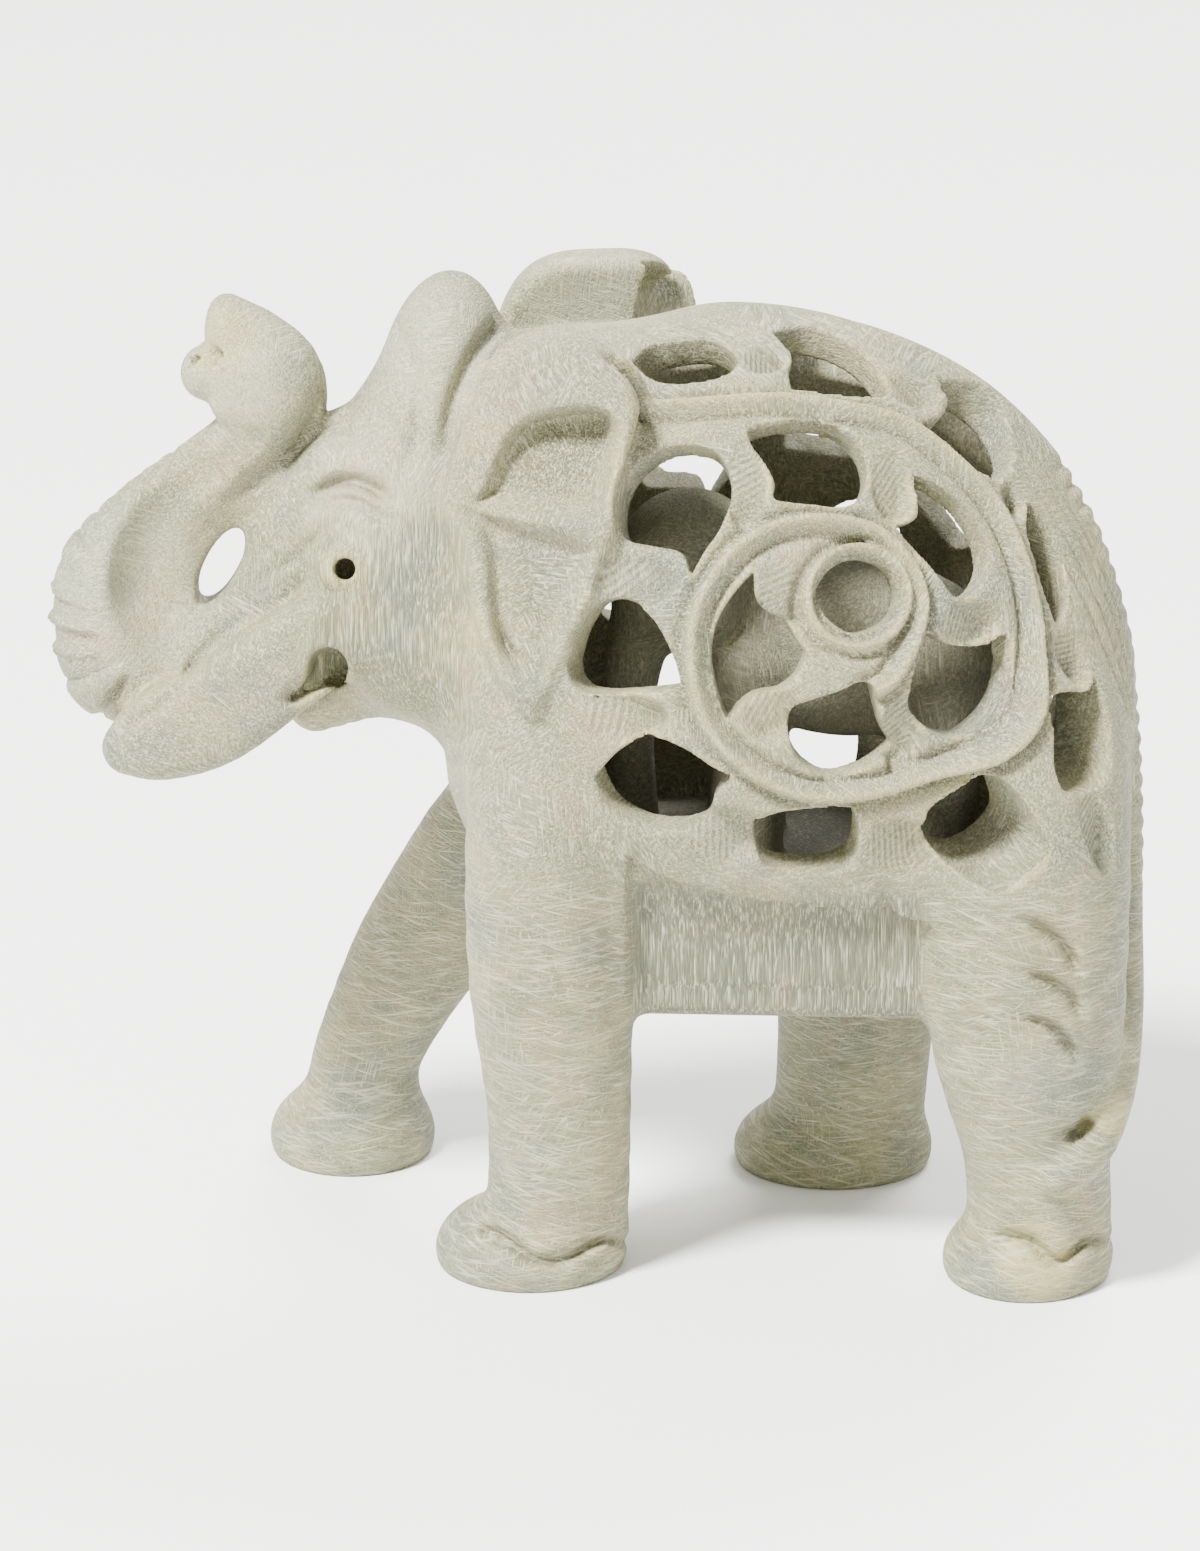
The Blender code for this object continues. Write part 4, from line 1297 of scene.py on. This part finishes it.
        # Painted shade in the bowls, on the low flank and in the grooves beside the stem.
        dirt_and_shade = (self.BOWL_DIRT * bowl, self.LOW_FLANK_DIRT * low_flank, self.GUTTER_DIRT * gutter)
        wear = (self.SPOT_WEAR * self.spots(points, self.YELLOWED), self.CREST_WEAR * crest)
        # hollow holds crease dirt and painted shade; grey marks the belly for painted shade; pale holds painted
        # light spots.
        return {
            "hollow": np.max([np.mean(hollows, axis=0) * open_wall, *dirt_and_shade], axis=0),
            "worn": np.max([worn, *wear], axis=0),
            "inside": self.inside(x, y, z),
            "leaf": vine.leaf.read(back, up) * on_flank,
            "stroke": vine.stroke.read(back, up),
            "level": (1 - ease(*self.LEG_TOP, z)) * (1 - belly),
            "upright": np.maximum(belly, cheek),
            "grey": belly,
            "pale": self.spots(points, self.PAINTED_LIGHT_SPOTS),
            "blush": self.spots(points, self.BLUSHES),
        }

    def inside(self, x: Array, y: Array, z: Array) -> Array:
        """Share by which points lie in the hollow."""
        a, b, c, _, _ = Egg(self.figure.WALL).shares(x, y, z)
        front, floor = self.figure.HOLLOW_FRONT, self.figure.HOLLOW_FLOOR
        depth = 1 - ease(0.96, 1.03, np.sqrt(a**2 + b**2 + c**2))
        return depth * ease(front - 1, front + 1, x) * ease(floor - 1, floor + 0.5, z)

    def spots(self, points: Array, places: tuple) -> Array:
        """Share by which points lie in one of some soft-edged balls."""
        gaps = [np.linalg.norm(points - np.array(spot), axis=1) / radius for spot, radius in places]
        return 1 - ease(0.5, 1.3, np.min(gaps, axis=0))


# Finish


def linear(colour: str) -> tuple[float, float, float, float]:
    """Linear colour of a hex sRGB colour."""
    parts = [int(colour[i : i + 2], 16) / 255 for i in (1, 3, 5)]
    return (*[c / 12.92 if c <= 0.04045 else ((c + 0.055) / 1.055) ** 2.4 for c in parts], 1.0)


class NodeTree:
    """Builds a material's nodes."""

    def __init__(self, material: bpy.types.Material) -> None:
        """Start from the material's own output and shader."""
        material.use_nodes = True
        self.tree = material.node_tree
        self.shader = self.tree.nodes["Principled BSDF"]
        self.column = 0

    def add(self, kind: str, links: dict | None = None, **settings) -> bpy.types.Node:
        """Add a node.

        Args:
            kind: Node type.
            links: Inputs by name or number, each an output socket or a value.
            settings: Properties of the node.

        Returns:
            The new node.
        """
        node = self.tree.nodes.new(kind)
        self.column += 1
        node.location = (-200 * (self.column // 5 + 2), -220 * (self.column % 5))
        for name, value in settings.items():
            setattr(node, name, value)
        for name, value in (links or {}).items():
            if isinstance(value, bpy.types.NodeSocket):
                self.tree.links.new(value, node.inputs[name])
            else:
                node.inputs[name].default_value = value
        return node

    def maths(self, operation: str, *values: Socket | float) -> Socket:
        """Result of a Math node on up to three values."""
        return self.add("ShaderNodeMath", dict(enumerate(values)), operation=operation).outputs[0]

    def vector(self, operation: str, a: Socket, b: Place) -> Socket:
        """Result of a Vector Math node on two vectors."""
        return self.add("ShaderNodeVectorMath", {0: a, 1: b}, operation=operation).outputs[0]

    def noise(self, place: Socket, scale: float, **links: float) -> Socket:
        """Value of a Noise Texture node."""
        return self.add("ShaderNodeTexNoise", {"Vector": place, "Scale": scale, **links}).outputs["Fac"]

    def turned(self, place: Socket, turn: Socket | Place) -> Socket:
        """A place turned by three angles."""
        links = {"Vector": place, "Rotation": turn}
        return self.add("ShaderNodeVectorRotate", links, rotation_type="EULER_XYZ").outputs[0]

    def mix(self, share: Socket, a: Socket | tuple, b: Socket | tuple) -> Socket:
        """Colour a where share is 0, b where it is 1."""
        return self.add("ShaderNodeMix", {0: share, 6: a, 7: b}, data_type="RGBA").outputs[2]

    def blend(self, share: Socket, a: Socket, b: Socket) -> Socket:
        """Value a where share is 0, b where it is 1."""
        return self.add("ShaderNodeMix", {0: share, 2: a, 3: b}, data_type="FLOAT").outputs[0]

    def ramp(self, value: Socket, low: float, high: float) -> Socket:
        """Smooth step of a value from low to high."""
        links = {0: value, 1: low, 2: high, 3: 0.0, 4: 1.0}
        node = self.add("ShaderNodeMapRange", links, interpolation_type="SMOOTHSTEP")
        return node.outputs[0]


@dataclass(frozen=True)
class Tint:
    """A colour laid over the stone.

    Attributes:
        colour: Hex sRGB colour.
        share: How much it covers at most.
        span: Values from which it comes in and at which it is full, or none where the value is the share.
    """

    colour: str
    share: float
    span: tuple[float, float] | None = None

    def over(self, nodes: NodeTree, value: Socket, colour: Socket, limit: Socket | None = None) -> Socket:
        """Lay the tint over a colour.

        Args:
            nodes: The material's nodes.
            value: What says how far it covers.
            colour: The colour under it.
            limit: Share that its cover is multiplied by.

        Returns:
            The new colour.
        """
        if self.span:
            value = nodes.ramp(value, *self.span)
        cover = nodes.maths("MULTIPLY", value, self.share)
        if limit is not None:
            cover = nodes.maths("MULTIPLY", cover, limit)
        return nodes.mix(cover, colour, linear(self.colour))


@dataclass(frozen=True)
class Soapstone:
    """Filed, unpolished soapstone: pale grey green with cream, pinkish and grey blue patches, and painted shade
    in creases, in the hollow and on the belly, and painted light on the head.

    Attributes:
        patch, cool_patch, rosy_patch: Size of the patches in millimetres, and factors on it.
        rosy, blush: Span and share of the pink in the clouds, and its share in the blushes.
        stroke_wide, stroke_long: Size of a file stroke in millimetres.
        stroke_turn, stroke_shift: Millimetres over which strokes keep a direction, and between two layers.
        stroke_angles: Most that the strokes turn, about each axis.
        stroke_tips: Angles at which the level strokes cross.
        inner_scratch: Share of the light strokes that is left inside the hollow.
        stroke_deep, grain_deep, leaf_deep: Heights of the relief in millimetres, below 0 for a cut.
    """

    base: str = "#747559"
    cream: Tint = Tint("#888261", 1.0, (0.42, 0.66))
    cool: Tint = Tint("#63685c", 0.8, (0.48, 0.68))
    # Painted shade: darker, bluer grey on the belly band, which lies under the body's overhang.
    belly: Tint = Tint("#63685c", 0.55)
    # Painted light on the dome, temple and trunk and on the far ear's inner wall, which the dome shades.
    pale: Tint = Tint("#b2b094", 0.4)
    pink: str = "#91785f"
    # Darker in creases and recesses, partly dirt and partly painted shade, with painted shade in the ears'
    # bowls, on the low flank and beside the stem.
    dirt_and_shade: Tint = Tint("#44422c", 0.65, (0.2, 0.9))
    # Darker in the hollow: partly its rough, unpolished stone, partly painted shade.
    inside: Tint = Tint("#615f4b", 0.7)
    edge: Tint = Tint("#a39a68", 0.65, (0.25, 0.8))
    scratch: Tint = Tint("#b2b094", 0.75, (0.48, 0.72))
    shade: Tint = Tint("#44422c", 0.5, (0.5, 0.34))
    leaf_scratch: Tint = Tint("#b2b094", 0.35, (0.45, 0.95))
    patch: float = 9.0
    cool_patch: float = 1.4
    rosy_patch: float = 0.7
    rosy: tuple[float, float, float] = (0.56, 0.72, 0.45)
    blush: float = 0.5
    roughness: float = 0.62
    shine: float = 0.35
    stroke_wide: float = 0.22
    stroke_long: float = 4.2
    stroke_turn: float = 7.0
    stroke_shift: float = 37.0
    stroke_angles: Place = (3.2, 3.2, 3.2)
    stroke_tips: tuple[float, float] = (0.12, -0.3)
    inner_scratch: float = 0.5
    stroke_deep: float = -0.10
    grain_deep: float = 0.08
    leaf_deep: float = 0.10

    def make(self) -> bpy.types.Material:
        """Build the stone's material."""
        material = bpy.data.materials.new("filed soapstone")
        nodes = NodeTree(material)
        place = nodes.add("ShaderNodeTexCoord").outputs["Object"]
        in_mm = nodes.vector("MULTIPLY", place, (1 / MM,) * 3)
        field = {name: nodes.add("ShaderNodeAttribute", attribute_name=name).outputs["Fac"] for name in MARKS}
        strokes, lines = self.strokes(nodes, in_mm, field), self.leaf_lines(nodes, field)
        outside = nodes.maths("SUBTRACT", 1.0, field["inside"])
        limit = nodes.maths("MULTIPLY_ADD", outside, 1 - self.inner_scratch, self.inner_scratch)
        colour = self.patches(nodes, in_mm, field)
        # Painted shade and crease dirt, by the hollow mark.
        colour = self.dirt_and_shade.over(nodes, field["hollow"], colour)
        # The hollow's inside made darker, partly its rough stone and partly painted shade.
        colour = self.inside.over(nodes, field["inside"], colour)
        colour = self.edge.over(nodes, field["worn"], colour)
        colour = self.scratch.over(nodes, strokes, colour, limit)
        colour = self.shade.over(nodes, strokes, colour)
        colour = self.leaf_scratch.over(nodes, lines, colour)
        grain = nodes.noise(in_mm, 2.6, Detail=3.0)
        height = nodes.maths("MULTIPLY", nodes.ramp(strokes, 0.3, 0.7), self.stroke_deep)
        height = nodes.maths("ADD", height, nodes.maths("MULTIPLY", grain, self.grain_deep))
        height = nodes.maths("ADD", height, nodes.maths("MULTIPLY", lines, self.leaf_deep))
        bump = nodes.add("ShaderNodeBump", {"Height": height, "Distance": MM, "Strength": 1.0})
        nodes.tree.links.new(bump.outputs[0], nodes.shader.inputs["Normal"])
        nodes.tree.links.new(colour, nodes.shader.inputs["Base Color"])
        nodes.shader.inputs["Roughness"].default_value = self.roughness
        nodes.shader.inputs["Specular IOR Level"].default_value = self.shine
        return material

    def cloud(self, nodes: NodeTree, in_mm: Socket, size: float, offset: float) -> Socket:
        """Soft noise whose blots are about size across, taken offset away from the figure."""
        spot = nodes.vector("ADD", in_mm, (offset,) * 3)
        return nodes.noise(spot, 1 / size, Detail=4.0, Roughness=0.6)

    def patches(self, nodes: NodeTree, in_mm: Socket, field: dict[str, Socket]) -> Socket:
        """Clouded colour of the block."""
        warm = nodes.ramp(self.cloud(nodes, in_mm, self.patch, 0), *self.cream.span)
        colour = nodes.mix(warm, linear(self.base), linear(self.cream.colour))
        cold = self.cloud(nodes, in_mm, self.patch * self.cool_patch, 70)
        colour = self.cool.over(nodes, cold, colour)
        # Painted shade on the belly band.
        colour = self.belly.over(nodes, field["grey"], colour)
        # Painted light on the head, the trunk and the far ear's wall.
        colour = self.pale.over(nodes, field["pale"], colour)
        low, high, share = self.rosy
        rosy = nodes.ramp(self.cloud(nodes, in_mm, self.patch * self.rosy_patch, 150), low, high)
        blush = nodes.maths("MULTIPLY", field["blush"], self.blush)
        rosy = nodes.maths("MAXIMUM", nodes.maths("MULTIPLY", rosy, share), blush)
        return nodes.mix(rosy, colour, linear(self.pink))

    def combed(self, nodes: NodeTree, place: Socket, scale: Place) -> Socket:
        """Noise drawn out along one direction."""
        drawn = nodes.vector("MULTIPLY", place, scale)
        return nodes.noise(drawn, 1.0, Detail=2.0, Roughness=0.7, Distortion=0.3)

    def strokes(self, nodes: NodeTree, in_mm: Socket, field: dict[str, Socket]) -> Socket:
        """Short file strokes: level on the legs, upright on belly and cheeks, turned about elsewhere."""
        thin, long = 1 / self.stroke_wide, 1 / self.stroke_long
        layers = []
        for offset in (0.0, self.stroke_shift):
            spot = nodes.vector("ADD", in_mm, (offset,) * 3)
            cells = nodes.add("ShaderNodeTexVoronoi", {"Vector": spot, "Scale": 1 / self.stroke_turn})
            turn = nodes.vector("MULTIPLY", cells.outputs["Color"], self.stroke_angles)
            layers.append(self.combed(nodes, nodes.turned(spot, turn), (thin, long, thin)))
        every = nodes.maths("MAXIMUM", *layers)
        tipped = [nodes.turned(in_mm, (0.0, tip, 0.0)) for tip in self.stroke_tips]
        level = nodes.maths("MAXIMUM", *[self.combed(nodes, spot, (long, long, thin)) for spot in tipped])
        crossing = nodes.maths("MULTIPLY", layers[0], 0.95)
        level = nodes.maths("MAXIMUM", nodes.maths("MULTIPLY", level, 0.97), crossing)
        upright = self.combed(nodes, in_mm, (thin, thin, long))
        return nodes.blend(field["upright"], nodes.blend(field["level"], every, level), upright)

    def leaf_lines(self, nodes: NodeTree, field: dict[str, Socket]) -> Socket:
        """Parallel strokes on the leaves, one to each whole number of the stroke value."""
        wobble = nodes.add("ShaderNodeTexNoise", {"Scale": 900.0, "Detail": 2.0}).outputs["Fac"]
        phase = nodes.maths("MULTIPLY_ADD", field["stroke"], math.pi, nodes.maths("MULTIPLY", wobble, 3.0))
        wave = nodes.maths("ABSOLUTE", nodes.maths("SINE", phase))
        return nodes.maths("MULTIPLY", wave, field["leaf"])


# Studio


@dataclass(frozen=True)
class Lamp:
    """Area lamp: where it stands, its size and its power."""

    name: str
    place: Place
    size: float
    power: float


class Studio:
    """Pale floor, soft lamps and the camera."""

    FLOOR, FLOOR_CLOUD, FLOOR_REACH = "#f4f4f2", "#c8c8c6", 6.0
    SKY, SKY_POWER = "#f3f3f1", 1.3
    AIM = (0, 0, 0.05)
    SENSOR, CLIP = 36.0, (0.05, 20.0)
    LAMPS = (
        Lamp("key", (-0.55, -0.55, 1.15), 0.32, 84.0),
        Lamp("fill", (0.9, -0.6, 0.5), 0.8, 2.0),
        Lamp("back", (0.3, 0.9, 1.0), 0.6, 24.0),
    )

    def build(self) -> None:
        """Set up floor, light and camera."""
        self.floor()
        self.light()
        self.camera()

    def floor(self) -> None:
        """A wide pale table top."""
        mesh = bpy.data.meshes.new("table_top")
        reach = self.FLOOR_REACH
        corners = [(-reach, -reach, 0), (reach, -reach, 0), (reach, reach, 0), (-reach, reach, 0)]
        mesh.from_pydata(corners, [], [(0, 1, 2, 3)])
        piece = bpy.data.objects.new("table_top", mesh)
        bpy.context.scene.collection.objects.link(piece)
        material = bpy.data.materials.new("painted table top")
        nodes = NodeTree(material)
        place = nodes.add("ShaderNodeTexCoord").outputs["Object"]
        cloud = nodes.maths("MULTIPLY", nodes.noise(place, 9.0), 0.06)
        tone = nodes.mix(cloud, linear(self.FLOOR), linear(self.FLOOR_CLOUD))
        nodes.tree.links.new(tone, nodes.shader.inputs["Base Color"])
        nodes.shader.inputs["Roughness"].default_value = 0.7
        mesh.materials.append(material)

    def light(self) -> None:
        """Even sky and three soft lamps that face the figure."""
        world = bpy.data.worlds.new("studio")
        world.use_nodes = True
        sky = world.node_tree.nodes["Background"].inputs
        sky["Color"].default_value, sky["Strength"].default_value = linear(self.SKY), self.SKY_POWER
        bpy.context.scene.world = world
        for lamp in self.LAMPS:
            data = bpy.data.lights.new(lamp.name, "AREA")
            data.shape, data.size, data.energy = "DISK", lamp.size, lamp.power
            piece = bpy.data.objects.new(lamp.name, data)
            piece.location = lamp.place
            aim = Vector(self.AIM) - Vector(lamp.place)
            piece.rotation_euler = aim.to_track_quat("-Z", "Y").to_euler()
            bpy.context.scene.collection.objects.link(piece)

    def camera(self) -> None:
        """Camera at the side view's eye."""
        data = bpy.data.cameras.new("camera")
        data.sensor_width = self.SENSOR
        data.lens = VIEW.focal / SideView.HIGH * data.sensor_width
        data.clip_start, data.clip_end = self.CLIP
        piece = bpy.data.objects.new("camera", data)
        piece.location = Vector(VIEW.eye) * MM
        piece.rotation_euler = Vector(VIEW.ahead).to_track_quat("-Z", "Y").to_euler()
        bpy.context.scene.collection.objects.link(piece)
        bpy.context.scene.camera = piece


def main() -> None:
    """Carve the figure, finish it and light it."""
    logging.basicConfig(level=logging.INFO, format="%(message)s")
    figure = Figure(PITCH)
    LOG.info("field: %s", figure.grid.values.shape)
    piece = Skin(figure).build()
    piece.data.materials.append(Soapstone().make())
    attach(piece, "root")
    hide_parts("elephant")
    Studio().build()


if __name__ == "__main__":
    main()
